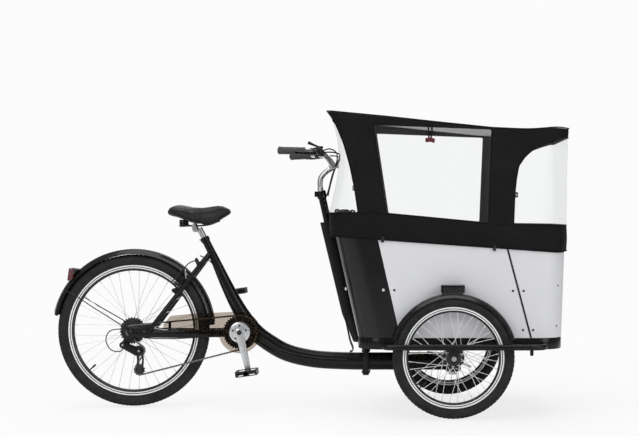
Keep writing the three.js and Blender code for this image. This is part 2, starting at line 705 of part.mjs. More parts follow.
// Solid inside the walls, from a low height up to a sloping plane z = level(x).
function boxSolid(inset, lowZ, level) {
  const highZ = 1000;
  const low = boxOutline(lowZ, inset);
  const high = boxOutline(highZ, inset);
  const fall = level(1) - level(0);
  const top = low.map((p, i) => {
    const dx = high[i].x - p.x;
    const t = (level(p.x) - lowZ) / (highZ - lowZ - fall * dx);
    return v3(p.x + t * dx, p.y + t * (high[i].y - p.y), lowZ + t * (highZ - lowZ));
  });
  return loft([low.map((p) => v3(p.x, p.y, lowZ)), top]);
}

// Half-space as a big block whose face is the slanting line x = at(z), material on the +X side.
function aheadOf(at) {
  const far = 3000;
  return plate([v2(at(200), 200), v2(far, 200), v2(far, 1400), v2(at(1400), 1400)], -600, 600);
}

const rearSeam = (z) => 1161.6 - 0.2288 * (z - BOX.lowZ);
const frontSeam = (z) => 1700.6 - 0.2637 * (z - BOX.lowZ);

function addBox() {
  const walls = boxSolid(0, BOX.lowZ, boxTop)
    .subtract(boxSolid(BOX.wall, BOX.lowZ - EPS, (x) => boxTop(x) + 20));
  const seamGap = 1;
  const front = aheadOf((z) => frontSeam(z) + seamGap / 2);
  const notRear = aheadOf((z) => rearSeam(z) + seamGap / 2);
  const rear = walls.subtract(aheadOf((z) => rearSeam(z) - seamGap / 2));
  add(bike, "box_rear_panel", rear, MATERIALS.blackPanel);
  add(bike, "box_front_panel", walls.intersect(front), MATERIALS.whitePanel);
  const middle = walls.intersect(notRear).subtract(aheadOf((z) => frontSeam(z) - seamGap / 2));
  for (const [side, suffix] of [[LEFT, "left"], [RIGHT, "right"]]) {
    const half = block(600, 2200, side > 0 ? 0 : -600, side > 0 ? 600 : 0, 200, 1400);
    add(bike, `box_side_${suffix}`, middle.intersect(half), MATERIALS.whitePanel);
  }
  const floor = boxOutline(BOX.lowZ, BOX.wall + 1);
  add(bike, "box_floor", slab(floor, BOX.lowZ, BOX.lowZ + 12), MATERIALS.wood);

  // Bench: a seat board on an upright front board, between the side panels and clear of the floor.
  const halfBench = BOX.halfWidth - BOX.wall - 3;
  const drainGap = 10;
  const bench = join(
    block(975, 1235, -halfBench, halfBench, 556, 571),
    block(1218, 1233, -halfBench, halfBench, BOX.lowZ + 12 + drainGap, 557),
  ).intersect(boxSolid(BOX.wall + 1, BOX.lowZ, boxTop));
  add(bike, "bench", bench, MATERIALS.wood);
}

// ---------------------------------------------------------------- front chassis
function addChassis() {
  const ring = slab(boxOutline(BOX.lowZ, 1), CHASSIS.lowZ, CHASSIS.highZ)
    .subtract(slab(boxOutline(BOX.lowZ, CHASSIS.rail), CHASSIS.lowZ - EPS, CHASSIS.highZ + EPS));
  const half = BOX.halfWidth - CHASSIS.rail + 4;
  const beams = [
    ...[1130, PIVOT.x, 1650].map((x) => block(x - 20, x + 20, -half, half, 281, 321)),
    block(1000, 1820, -25, 25, 283, 319),
  ];
  const hub = rod(v3(PIVOT.x, 0, PIVOT.headHigh + GAP), v3(PIVOT.x, 0, 305), 42, 24);
  const pinBore = rod(v3(PIVOT.x, 0, 250), v3(PIVOT.x, 0, 340), PIVOT.pinR + 0.8, 20);
  const nutSpace = rod(v3(PIVOT.x, 0, 305), v3(PIVOT.x, 0, 340), 24, 20);
  const sides = [LEFT, RIGHT].flatMap((side) => {
    const y = (value) => side * value;
    const bar = bentTube(
      [v3(1092, y(310), CHASSIS.barZ), v3(1094, y(380), CHASSIS.barZ), v3(1104, y(418), CHASSIS.barZ),
        v3(1140, y(CHASSIS.barY), CHASSIS.barZ), v3(1420, y(CHASSIS.barY), CHASSIS.barZ),
        v3(1705, y(CHASSIS.barY), CHASSIS.barZ), v3(1742, y(418), CHASSIS.barZ),
        v3(1752, y(380), CHASSIS.barZ), v3(1752, y(310), CHASSIS.barZ)],
      CHASSIS.barR, 26, 10,
    );
    const ear = (yIn, yOut, top) => {
      const [lo, hi] = [y(yIn), y(yOut)].sort((a, b) => a - b);
      const outline = [v2(WHEELBASE - 24, top), v2(WHEELBASE - 14, 232), v2(WHEELBASE + 14, 232), v2(WHEELBASE + 24, top)];
      return plate(outline, lo, hi, [circle({ x: WHEELBASE, z: AXLE_Z }, 6.9, 12)]);
    };
    const tab = block(1687, 1701, Math.min(y(424), y(430)), Math.max(y(424), y(430)), 262, 290);
    return [bar, ear(324, 331, 300), ear(427, 433, 292), tab];
  });
  const chassis = join(ring, beams, hub, sides).subtract(pinBore).subtract(nutSpace);
  add(bike, "front_chassis", chassis, MATERIALS.blackPaint);
}

function addFrontWheelFittings(side, suffix) {
  const y = (value) => side * value;
  const axle = join(
    cross(WHEELBASE, AXLE_Z, y(312), y(446), 6, 12),
    cross(WHEELBASE, AXLE_Z, y(314), y(324 - GAP), 11, 6),
    cross(WHEELBASE, AXLE_Z, y(433 + GAP), y(443), 11, 6),
  );
  add(bike, `front_axle_${suffix}`, axle, MATERIALS.steel);

  // Drum brake back plate with its reaction arm, held still beside the turning hub.
  const [plateLo, plateHi] = [y(336), y(344)].sort((a, b) => a - b);
  const brakePlate = join(
    plate(circle({ x: WHEELBASE, z: AXLE_Z }, 41, 20), plateLo, plateHi),
    plate([v2(1360, 262), v2(1272, 272), v2(1272, 262), v2(1360, 240)], plateLo, plateHi),
  ).subtract(cross(WHEELBASE, AXLE_Z, y(330), y(350), 7, 12));
  add(bike, `brake_plate_${suffix}`, brakePlate, MATERIALS.darkSteel);

  const [camLo, camHi] = [y(331.5), y(335.6)].sort((a, b) => a - b);
  const cam = plate([v2(1399, 224), v2(1408, 232), v2(1452, 212), v2(1449, 203)], camLo, camHi);
  add(bike, `brake_cam_${suffix}`, cam, MATERIALS.steel);

  // Mudguard over the wheel, with the bracket that carries it on the box side.
  const centre = { x: WHEELBASE, z: AXLE_Z };
  const [low, high] = [y(BOX.halfWidth + 1.5), y(396)].sort((a, b) => a - b);
  const fender = join(
    fenderBand(centre, 259, 29, 17, 163, 20, (side * TRACK) / 2),
    block(WHEELBASE - 50, WHEELBASE + 46, low, high, 506, 545),
  ).subtract(cross(centre.x, centre.z, y(320), y(440), 259, 60));
  add(bike, `front_fender_${suffix}`, fender, MATERIALS.blackPlastic);
}

// ---------------------------------------------------------------- steering column and handlebar
const postX = (z) => POST_TOP.x + POST_SLOPE * (z - POST_TOP.z);

function addColumn() {
  const at = (z) => v3(postX(z), 0, z);
  const axis = v3(POST_SLOPE, 0, 1).normalize();
  const ahead = 22.5; // from the column's axis to the housing's front face
  const lowZ = 402;
  const housing = plate(
    [v2(postX(800) - 33, 800), v2(postX(lowZ) - 25.5, lowZ), v2(957, 279), v2(983.4, 279),
      v2(983.4, 310), v2(postX(lowZ) + ahead, lowZ), v2(postX(800) + ahead, 800)],
    -20, 20,
  );
  const brackets = [505, 660].map((z) => block(postX(z) + 15, rearWallX(z) - GAP - 1.6, -16, 16, z - 9, z + 5));
  const column = join(housing, rod(at(790), at(906), 16.5, 16), rod(at(904), at(924), 20, 16),
    block(792, 806, -9, 9, 908, 924), brackets)
    .subtract(rod(at(700), at(940), 13.6, 20));
  add(bike, "steering_column", column, MATERIALS.blackPaint);

  const quillLow = at(POST_TOP.z).addScaledVector(axis, -150);
  const stem = join(
    rod(quillLow, at(950), 12.7, 16),
    bentTube([at(945), v3(811, 0, 972), v3(815, 0, 994), v3(831, 0, 1014), v3(850, 0, 1029), v3(867, 0, 1036)],
      11, 12, 10),
    cross(BAR_CLAMP.x, BAR_CLAMP.z, -17, 17, 17, 16),
  ).subtract(cross(BAR_CLAMP.x, BAR_CLAMP.z, -20, 20, 12.2, 16));
  add(bike, "stem", stem, MATERIALS.silver);
}

// Centre line of one half of the handlebar, from the clamp to the grip's end.
function barPoints(side) {
  return [
    v3(867, side * 0, 1045), v3(866, side * 34, 1047), v3(856, side * 74, 1066), v3(832, side * 125, 1092),
    v3(800, side * 182, 1099), v3(775, side * 211, 1100), v3(761, side * 222.5, 1100), v3(663, side * 303, 1099),
  ];
}

function addHandlebar() {
  const points = [...barPoints(RIGHT).reverse(), ...barPoints(LEFT).slice(1)];
  const controls = [LEFT, RIGHT].map((side) => {
    // The brake lever's clamp round the bar, with a tab out over the lever's pivot.
    const [inner, outer] = barPoints(side).slice(-4, -2);
    const along = outer.clone().sub(inner).normalize();
    const clamp = rod(inner.clone().addScaledVector(along, 4), inner.clone().addScaledVector(along, 26), 15, 12);
    const pivot = leverPoints(side)[0];
    const tab = rod(v3(pivot.x - 16, side * 195, pivot.z + 8), v3(pivot.x + 3, pivot.y, pivot.z + 8), 3.4, 6);
    return clamp.add(tab);
  });
  const gearClamp = rod(v3(826, -136, 1095), v3(814, -158, 1098), 16, 12);
  add(bike, "handlebar", join(bentTube(points, 11, 30, 10), controls, gearClamp), MATERIALS.silver);
  for (const [side, suffix] of [[LEFT, "left"], [RIGHT, "right"]]) {
    const [start, end] = barPoints(side).slice(-2);
    const along = end.clone().sub(start).normalize();
    const tip = end.clone().addScaledVector(along, 3);
    const grip = rod(start.clone().addScaledVector(along, 2), tip, 16.5, 14)
      .subtract(rod(start, end.clone().addScaledVector(along, GAP), 12, 14));
    add(bike, `grip_${suffix}`, grip, MATERIALS.rubber);
    add(bike, `brake_lever_${suffix}`, bentTube(leverPoints(side), 4.2, 6, 6), MATERIALS.blackPaint);
  }
  const base = v3(820, -147, 1115);
  const lever = join(
    rod(base.clone().add(v3(0, 0, -0.5)), base.clone().add(v3(0, 0, 9)), 13, 12),
    rod(base.clone().add(v3(-2, -2, 5)), v3(797, -170, 1147), 4, 6),
  );
  add(bike, "gear_lever", lever, MATERIALS.blackPlastic);
}

// Brake lever in front of the grip, from its pivot beside the bar to its tip.
function leverPoints(side) {
  return [
    v3(806, side * 213, 1093), v3(776, side * 262, 1090), v3(751, side * 296, 1089), v3(729, side * 321, 1091),
  ];
}

// ---------------------------------------------------------------- rain hood
// The hood is a thin closed skin, open below: a skirt outside the box, walls and a roof.
function hoodRing(inset, low) {
  const { rearX, frontX, halfWidth, corner, level } = low;
  const radius = corner - inset;
  const [x0, x1] = [rearX + inset + radius, frontX - inset - radius];
  const y = halfWidth - inset - radius;
  const quarter = (cx, cy, from) => arc({ x: cx, z: cy }, radius, from, from + 90, 4);
  return [...quarter(x1, y, 0), ...quarter(x0, y, 90), ...quarter(x0, -y, 180), ...quarter(x1, -y, 270)]
    .map((p) => v3(p.x, p.y, level(p.x)));
}

// From the bottom of the skirt to the roof; the back is drawn in behind the handlebar.
const HOOD_LEVELS = [
  { rearX: 883.5, frontX: 1857, halfWidth: 331, corner: 104, level: (x) => 743.5 - 0.0703 * (x - 890) },
  { rearX: 862, frontX: 1858, halfWidth: 331, corner: 104, level: (x) => 841 - 0.0516 * (x - 862) },
  { rearX: 903, frontX: 1859, halfWidth: 318, corner: 62, level: (x) => 1090 - 0.055 * (x - 905) },
  { rearX: 892, frontX: 1860, halfWidth: 312, corner: 46, level: (x) => 1172 - 0.065 * (x - 890) },
  { rearX: 856, frontX: 1862, halfWidth: 306, corner: 34, level: (x) => 1264 - 0.0728 * (x - 856) },
];

function addHood() {
  const skin = 3;
  const outer = loft(HOOD_LEVELS.map((l) => hoodRing(0, l)));
  const moved = (l, amount) => ({ ...l, level: (x) => l.level(x) + amount });
  const last = HOOD_LEVELS.length - 1;
  const lowering = HOOD_LEVELS.map((l, i) => (i === 0 ? -5 : i === last ? -skin : 0));
  const inner = loft(HOOD_LEVELS.map((l, i) => hoodRing(skin, moved(l, lowering[i]))));
  add(bike, "hood", outer.subtract(inner), MATERIALS.blackFabric);

  // Two hoops carry the hood; their legs stand in the box against its side panels.
  const hoop = (name, leg) => {
    const side = (sign) => leg.map(([x, y, z]) => v3(x, sign * y, z));
    const [topX, , topZ] = leg[leg.length - 1];
    const path = [...side(LEFT), v3(topX, 0, topZ), ...side(RIGHT).reverse()];
    add(bike, name, bentTube(path, 7, 26, 8), MATERIALS.steel);
  };
  hoop("hood_hoop_rear", [[1030, 303, 640], [1006, 303, 841], [976, 302, 1010], [945, 299, 1120],
    [908, 294, 1205], [884, 272, 1242], [880, 240, 1248]]);
  hoop("hood_hoop_front", [[1575, 303, 600], [1598, 303, 841], [1610, 302, 1000], [1640, 299, 1080],
    [1700, 294, 1138], [1790, 282, 1170], [1830, 262, 1177], [1836, 235, 1178]]);
}

// ---------------------------------------------------------------- build everything
addFrame();
addFrameFittings();
addRearFender();
addRearWheel();
addSprocketCluster();
addCrankset();
addChain();
addChainGuard();
addDerailleur();
addRearBrake();
addSeat();
addChassis();
addBox();
for (const [side, suffix] of [[LEFT, "left"], [RIGHT, "right"]]) {
  addFrontWheel(side, suffix);
  addFrontWheelFittings(side, suffix);
}
addColumn();
addHandlebar();
addHood();

export default bike;
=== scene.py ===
"""Looks of a front-loading cargo tricycle with a rain hood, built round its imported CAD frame.

Lengths below are millimetres unless a name ends in _M. +X points forward, +Y to the rider's left
and +Z up. The origin is on the ground, straight below the rear axle.
"""

import math

import bmesh
import bpy
import numpy as np
from mathutils import Matrix, Vector, noise


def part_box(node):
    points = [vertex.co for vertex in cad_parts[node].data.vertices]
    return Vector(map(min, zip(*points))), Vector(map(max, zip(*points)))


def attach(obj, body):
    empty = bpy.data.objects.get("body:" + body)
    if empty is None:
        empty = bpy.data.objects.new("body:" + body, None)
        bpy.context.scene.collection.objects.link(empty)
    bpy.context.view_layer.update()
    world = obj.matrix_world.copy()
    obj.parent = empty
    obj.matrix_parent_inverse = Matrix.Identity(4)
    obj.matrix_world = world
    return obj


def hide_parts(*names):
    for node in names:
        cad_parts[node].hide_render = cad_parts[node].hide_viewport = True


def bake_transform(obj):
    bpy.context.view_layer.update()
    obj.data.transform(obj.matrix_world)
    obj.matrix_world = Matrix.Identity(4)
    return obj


MM = 0.001
RIGHT, LEFT = -1, 1
SIDES = {"right": RIGHT, "left": LEFT}

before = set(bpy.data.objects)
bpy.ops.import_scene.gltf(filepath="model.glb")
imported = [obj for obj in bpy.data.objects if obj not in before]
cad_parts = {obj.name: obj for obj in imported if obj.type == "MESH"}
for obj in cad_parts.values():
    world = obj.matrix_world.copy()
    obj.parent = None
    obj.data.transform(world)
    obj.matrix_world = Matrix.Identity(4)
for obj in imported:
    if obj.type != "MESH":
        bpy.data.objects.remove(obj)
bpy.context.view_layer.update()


# ------------------------------------------------------------------ dimensions
def centre_of(node):
    low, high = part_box(node)
    return (low + high) / 2 / MM


def size_of(node):
    low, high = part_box(node)
    return (high - low) / MM


REAR_AXLE = centre_of("rear_tyre")
REAR_TYRE_R = size_of("rear_tyre").z / 2
REAR_TYRE_HALF = 25
REAR_RIM_R = 285.5
REAR_RIM_INNER_R = 259
FRONT_TYRE_R = size_of("front_tyre_left").z / 2
FRONT_TYRE_HALF = 23.5
FRONT_RIM_R = 209
FRONT_RIM_INNER_R = 185
FRONT_AXLE = {side: centre_of(f"front_tyre_{side}") for side in SIDES}

BB = Vector((468, 0, 325))  # bottom bracket
CRANK_LENGTH = 170
CRANK_ANGLE = math.radians(-76.7)
CHAIN_Y = -52
GUARD_Y = CHAIN_Y - 10
CHAIN_PITCH = 12.7
CHAINRING_TEETH = 36
SPROCKET_TEETH = (12, 14, 16, 18, 21, 24, 28)
SPROCKET_SPACING = 5
PULLEY_TEETH = 11
GUIDE_PULLEY = Vector((34, CHAIN_Y, 246))
TENSION_PULLEY = Vector((35, CHAIN_Y, 163))

SEAT_TUBE_TOP = Vector((304.8, 0, 734.5))
SEAT_DIRECTION = Vector((-0.454, 0, 0.891)).normalized()
STAY_LOW = Vector((86, 0, 341))
STAY_UP = Vector((0.605, 0, 0.796))
STEERING_X = 1390

BOX_LOW = 325
BOX_HALF = 325
BOX_CORNER = 100
BOX_WALL = 9
BOX_CORNER_STEPS = 14
POST_SLOPE = -0.2215
POST_TOP = Vector((817, 0, 923))
BAR_CLAMP = Vector((867, 0, 1045))


def box_top(x):
    return 792 - 0.0575 * (x - 880)


def rear_wall(z):
    return 984 - 0.2238 * (z - BOX_LOW)


def front_wall(z):
    return 1835 + 0.036 * (z - BOX_LOW)


def rear_seam(z):
    return 1161.6 - 0.2288 * (z - BOX_LOW)


def front_seam(z):
    return 1700.6 - 0.2637 * (z - BOX_LOW)


def post_x(z):
    return POST_TOP.x + POST_SLOPE * (z - POST_TOP.z)


# ------------------------------------------------------------------ materials
class Shader:
    """Builds one node material round a Principled BSDF."""

    def __init__(self, name, color, roughness, metallic=0.0, **sockets):
        self.material = bpy.data.materials.new(name)
        self.material.use_nodes = True
        self.tree = self.material.node_tree
        self.bsdf = self.tree.nodes["Principled BSDF"]
        self.output = self.tree.nodes["Material Output"]
        self.color = (*color, 1)
        self.bsdf.inputs["Base Color"].default_value = self.color
        self.bsdf.inputs["Roughness"].default_value = roughness
        self.bsdf.inputs["Metallic"].default_value = metallic
        for socket, value in sockets.items():
            self.bsdf.inputs[socket.replace("_", " ")].default_value = value
        self.material.diffuse_color = self.color
        self.normal = None

    def node(self, kind, inputs=None, **props):
        made = self.tree.nodes.new(kind)
        for key, value in props.items():
            setattr(made, key, value)
        for key, value in (inputs or {}).items():
            if isinstance(value, bpy.types.NodeSocket):
                self.tree.links.new(value, made.inputs[key])
            else:
                made.inputs[key].default_value = value
        return made

    def link(self, source, target):
        self.tree.links.new(source, target)

    def coordinates(self, kind="Object", scale=(1, 1, 1)):
        source = self.node("ShaderNodeTexCoord").outputs[kind]
        return self.node("ShaderNodeMapping", {"Vector": source, "Scale": scale}).outputs[0]

    def noise(self, scale, detail=4, roughness=0.55, stretch=(1, 1, 1), kind="Object"):
        made = self.node(
            "ShaderNodeTexNoise",
            {"Vector": self.coordinates(kind, stretch), "Scale": scale, "Detail": detail,
             "Roughness": roughness},
        )
        return made.outputs["Fac"]

    def spread(self, value, low, high, from_low=0.35, from_high=0.65):
        """Maps a texture value to a range."""
        made = self.node(
            "ShaderNodeMapRange",
            {"Value": value, "From Min": from_low, "From Max": from_high, "To Min": low, "To Max": high},
        )
        return made.outputs[0]

    def math(self, operation, a, b=0.0):
        made = self.node("ShaderNodeMath", operation=operation)
        for index, value in enumerate((a, b)):
            if isinstance(value, bpy.types.NodeSocket):
                self.link(value, made.inputs[index])
            else:
                made.inputs[index].default_value = value
        return made.outputs[0]

    def mix_color(self, factor, a, b):
        made = self.node("ShaderNodeMix", data_type="RGBA")
        for socket, value in ((made.inputs[0], factor), (made.inputs[6], a), (made.inputs[7], b)):
            if isinstance(value, bpy.types.NodeSocket):
                self.link(value, socket)
            else:
                socket.default_value = (*value, 1) if isinstance(value, tuple) else value
        return made.outputs[2]

    def vary_color(self, other, factor):
        self.link(self.mix_color(factor, self.color[:3], other), self.bsdf.inputs["Base Color"])

    def vary_roughness(self, value):
        self.link(value, self.bsdf.inputs["Roughness"])

    def bump(self, height, strength, distance):
        inputs = {"Height": height, "Strength": strength, "Distance": distance}
        if self.normal is not None:
            inputs["Normal"] = self.normal
        self.normal = self.node("ShaderNodeBump", inputs).outputs[0]
        self.link(self.normal, self.bsdf.inputs["Normal"])

    def see_through(self, tint, opacity):
        """Lets light straight through, tinted, with the surface's own gloss on top."""
        clear = self.node("ShaderNodeBsdfTransparent", {"Color": (*tint, 1)})
        mix = self.node("ShaderNodeMixShader", {0: opacity, 1: clear.outputs[0], 2: self.bsdf.outputs[0]})
        self.link(mix.outputs[0], self.output.inputs["Surface"])
        return mix


def paint_material():
    made = Shader("black_paint", (0.003, 0.003, 0.0033), 0.28, Specular_IOR_Level=0.2, Coat_Weight=0.06,
                  Coat_Roughness=0.08)
    dust = made.noise(9, 5)
    made.vary_color((0.007, 0.007, 0.0075), made.spread(dust, 0, 0.6))
    made.vary_roughness(made.spread(made.noise(60, 3), 0.2, 0.34))
    made.bump(made.noise(420, 2), 0.05, 0.0006)
    return made.material


def silver_material(name="silver_alloy", color=(0.64, 0.65, 0.66), roughness=0.27, metallic=1.0):
    made = Shader(name, color, roughness, metallic)
    made.vary_color(tuple(c * 0.82 for c in color), made.spread(made.noise(30, 4), 0, 0.6))
    made.vary_roughness(made.spread(made.noise(240, 3, stretch=(1, 1, 6)), roughness - 0.06, roughness + 0.1))
    made.bump(made.noise(900, 2, stretch=(1, 0.2, 1)), 0.06, 0.0003)
    return made.material


def dark_steel_material():
    made = Shader("dark_steel", (0.022, 0.021, 0.021), 0.4, 0.7)
    made.vary_color((0.06, 0.055, 0.05), made.spread(made.noise(90, 5), 0, 0.75))
    made.vary_roughness(made.spread(made.noise(150, 4), 0.32, 0.6))
    made.bump(made.noise(600, 3), 0.1, 0.0005)
    return made.material


def chain_material():
    made = Shader("oiled_chain", (0.24, 0.235, 0.23), 0.36, 1.0)
    made.vary_color((0.07, 0.066, 0.062), made.spread(made.noise(160, 4), 0, 0.8))
    made.bump(made.noise(900, 2), 0.08, 0.0003)
    return made.material


def plastic_material(name="black_plastic", color=(0.008, 0.008, 0.0085), roughness=0.42, grain=1300):
    made = Shader(name, color, roughness, Specular_IOR_Level=0.35)
    made.vary_color(tuple(c * 1.9 + 0.004 for c in color), made.spread(made.noise(14, 5), 0, 0.5))
    made.vary_roughness(made.spread(made.noise(80, 3), roughness - 0.07, roughness + 0.12))
    made.bump(made.noise(grain, 2), 0.14, 0.0003)
    return made.material


def tyre_material():
    made = Shader("tyre_rubber", (0.011, 0.011, 0.0115), 0.78, Specular_IOR_Level=0.25)
    made.vary_color((0.03, 0.029, 0.028), made.spread(made.noise(22, 5), 0, 0.6))
    made.vary_roughness(made.spread(made.noise(120, 3), 0.66, 0.88))
    made.bump(made.noise(700, 3), 0.3, 0.0005)
    return made.material


def fabric_material(name="hood_fabric", color=(0.0030, 0.0026, 0.0027), thread=0.0011, roughness=0.6):
    """Coated plain weave; UVs are in metres along the cloth."""
    made = Shader(name, color, roughness, Sheen_Weight=0.01, Sheen_Roughness=0.4, Specular_IOR_Level=0.14)
    cloth = made.coordinates("UV")
    waves = [
        made.node(
            "ShaderNodeTexWave",
            {"Vector": cloth, "Scale": 1 / thread / 6.3, "Distortion": 0.4, "Detail": 1.0},
            bands_direction=direction,
        ).outputs["Fac"]
        for direction in ("X", "Y")
    ]
    weave = made.math("MULTIPLY", waves[0], waves[1])
    made.bump(weave, 0.35, 0.0004)
    made.bump(made.noise(7, 5, kind="UV"), 0.22, 0.012)
    made.vary_color(tuple(c * 2 for c in color), made.spread(made.noise(5, 6, kind="UV"), 0, 0.8))
    made.vary_roughness(made.spread(made.noise(40, 4, kind="UV"), roughness - 0.08, roughness + 0.12))
    return made.material


def lining_material():
    made = Shader("hood_lining", (0.78, 0.78, 0.79), 0.7, Sheen_Weight=0.1)
    made.vary_color((0.6, 0.6, 0.61), made.spread(made.noise(6, 5, kind="UV"), 0, 0.7))
    made.bump(made.noise(900, 3, kind="UV"), 0.2, 0.0004)
    made.bump(made.noise(8, 4, kind="UV"), 0.2, 0.01)
    return made.material


def vinyl_material():
    made = Shader("clear_vinyl", (0.93, 0.93, 0.94), 0.06, Specular_IOR_Level=0.45)
    made.bump(made.noise(5, 3, kind="UV"), 0.25, 0.012)
    made.bump(made.noise(28, 3, kind="UV"), 0.08, 0.004)
    made.vary_roughness(made.spread(made.noise(12, 5, kind="UV"), 0.04, 0.16))
    facing = made.node("ShaderNodeLayerWeight", {"Blend": 0.28}).outputs["Facing"]
    opacity = made.spread(facing, 0.012, 0.13, 0, 1)
    mix = made.see_through((0.985, 0.987, 0.988), 0.1)
    made.link(opacity, mix.inputs[0])
    return made.material


def panel_material(name, color, other, roughness):
    """Smooth coated board: a very broad mottling and fine orange peel."""
    made = Shader(name, color, roughness, Coat_Weight=0.12, Coat_Roughness=0.2, Specular_IOR_Level=0.3)
    made.vary_color(other, made.spread(made.noise(2.2, 2), 0, 1, 0.3, 0.7))
    made.vary_roughness(made.spread(made.noise(12, 3), roughness - 0.03, roughness + 0.05))
    made.bump(made.noise(330, 2), 0.05, 0.0003)
    return made.material


def wood_material():
    made = Shader("plywood", (0.50, 0.34, 0.18), 0.45, Coat_Weight=0.2)
    rings = made.node(
        "ShaderNodeTexWave",
        {"Vector": made.coordinates(scale=(1, 7, 7)), "Scale": 2.2, "Distortion": 5.0, "Detail": 4.0},
        bands_direction="Y",
    ).outputs["Fac"]
    made.vary_color((0.36, 0.22, 0.11), made.spread(rings, 0, 0.8, 0.3, 0.9))
    made.vary_roughness(made.spread(made.noise(60, 4), 0.36, 0.56))
    made.bump(made.noise(300, 3, stretch=(0.08, 1, 1)), 0.2, 0.0005)
    return made.material


def leather_material(name="saddle_cover", color=(0.0055, 0.0055, 0.006), pebble=520):
    made = Shader(name, color, 0.52, Specular_IOR_Level=0.3)
    cells = made.node("ShaderNodeTexVoronoi", {"Vector": made.coordinates(), "Scale": pebble},
                      feature="DISTANCE_TO_EDGE").outputs["Distance"]
    made.bump(made.spread(cells, 0, 1, 0.0, 0.2), 0.3, 0.0006)
    made.bump(made.noise(70, 4), 0.15, 0.001)
    made.vary_color((0.02, 0.02, 0.021), made.spread(made.noise(25, 5), 0, 0.7))
    made.vary_roughness(made.spread(made.noise(40, 4), 0.42, 0.62))
    return made.material


def lens_material():
    made = Shader("red_lens", (0.06, 0.006, 0.008), 0.14, Coat_Weight=0.4, Coat_Roughness=0.05)
    cells = made.node("ShaderNodeTexVoronoi", {"Vector": made.coordinates(), "Scale": 260}).outputs["Distance"]
    made.bump(cells, 0.55, 0.002)
    made.vary_color((0.13, 0.012, 0.016), made.spread(cells, 0, 0.7, 0.2, 0.7))
    return made.material


def smoke_material():
    made = Shader("smoked_plastic", (0.016, 0.013, 0.011), 0.16, Specular_IOR_Level=0.3)
    made.bump(made.noise(6, 3), 0.1, 0.004)
    made.vary_color((0.03, 0.024, 0.02), made.spread(made.noise(16, 5), 0, 0.8))
    made.see_through((0.72, 0.67, 0.62), 0.08)
    return made.material


def floor_material():
    """A pale floor that the camera sees lifted towards white, so only soft shadows show on it."""
    made = Shader("studio_floor", (0.9, 0.9, 0.9), 0.6, Specular_IOR_Level=0.15)
    made.vary_roughness(made.spread(made.noise(3, 4), 0.55, 0.65))
    seen = made.node("ShaderNodeLightPath").outputs["Is Camera Ray"]
    lift = made.node("ShaderNodeEmission", {"Color": (1, 1, 1, 1), "Strength": 0.97})
    away = made.node("ShaderNodeVectorMath", {0: made.coordinates(), 1: (0.8, 0, 0)}, operation="DISTANCE")
    share = made.math("MULTIPLY", seen, made.spread(away.outputs["Value"], 0.8, 1.0, 1.0, 3.2))
    mix = made.node("ShaderNodeMixShader", {0: share, 1: made.bsdf.outputs[0], 2: lift.outputs[0]})
    made.link(mix.outputs[0], made.output.inputs["Surface"])
    return made.material


PAINT = paint_material()
SILVER = silver_material()
STEEL = silver_material("plain_steel", (0.45, 0.45, 0.46), 0.3)
SPOKE = silver_material("spoke_steel", (0.8, 0.8, 0.81), 0.34, 0.4)
TRACK = silver_material("brake_track", (0.93, 0.93, 0.94), 0.36, 0.25)
DARK_STEEL = dark_steel_material()
CHAIN = chain_material()
PLASTIC = plastic_material()
RIM_BLACK = plastic_material("rim_black", (0.014, 0.014, 0.015), 0.34, 500)
GRIP = plastic_material("grip_rubber", (0.045, 0.045, 0.046), 0.72, 900)
CABLE = plastic_material("cable_housing", (0.012, 0.012, 0.013), 0.4, 700)
RED_PLASTIC = plastic_material("red_plastic", (0.07, 0.005, 0.01), 0.4, 900)
AMBER = plastic_material("amber_reflector", (0.65, 0.18, 0.01), 0.2, 500)
FABRIC = fabric_material()
BINDING = fabric_material("binding_tape", (0.0018, 0.0017, 0.0018), 0.0007, 0.7)
WEBBING = fabric_material("strap_webbing", (0.0035, 0.0035, 0.0035), 0.0016, 0.7)
LINING = lining_material()
VINYL = vinyl_material()
WHITE = panel_material("white_panel", (0.64, 0.64, 0.66), (0.69, 0.69, 0.705), 0.36)
BLACK = panel_material("black_panel", (0.003, 0.003, 0.0032), (0.005, 0.005, 0.0053), 0.2)
WOOD = wood_material()
LEATHER = leather_material()
LENS = lens_material()
TYRE = tyre_material()
FENDER = plastic_material("mudguard_plastic", (0.006, 0.006, 0.0065), 0.22, 500)
SMOKE = smoke_material()


# ------------------------------------------------------------------ shape building
class Form:
    """Vertices and faces in millimetres, with a material number for each face."""

    def __init__(self):
        self.verts = []
        self.faces = []
        self.tones = []

    def add(self, other, tone=None):
        verts, faces = (other.verts, other.faces) if isinstance(other, Form) else other
        start = len(self.verts)
        self.verts.extend(Vector(v) for v in verts)
        self.faces.extend(tuple(i + start for i in f) for f in faces)
        old = other.tones if isinstance(other, Form) else [0] * len(faces)
        self.tones.extend(old if tone is None else [tone] * len(faces))
        return self

    def moved(self, matrix):
        made = Form().add(self)
        made.verts = [matrix @ v for v in made.verts]
        return made

    def flipped(self):
        """The mirror image across the bicycle's centre plane."""
        made = Form().add(self)
        made.verts = [Vector((v.x, -v.y, v.z)) for v in made.verts]
        made.faces = [tuple(reversed(f)) for f in made.faces]
        return made


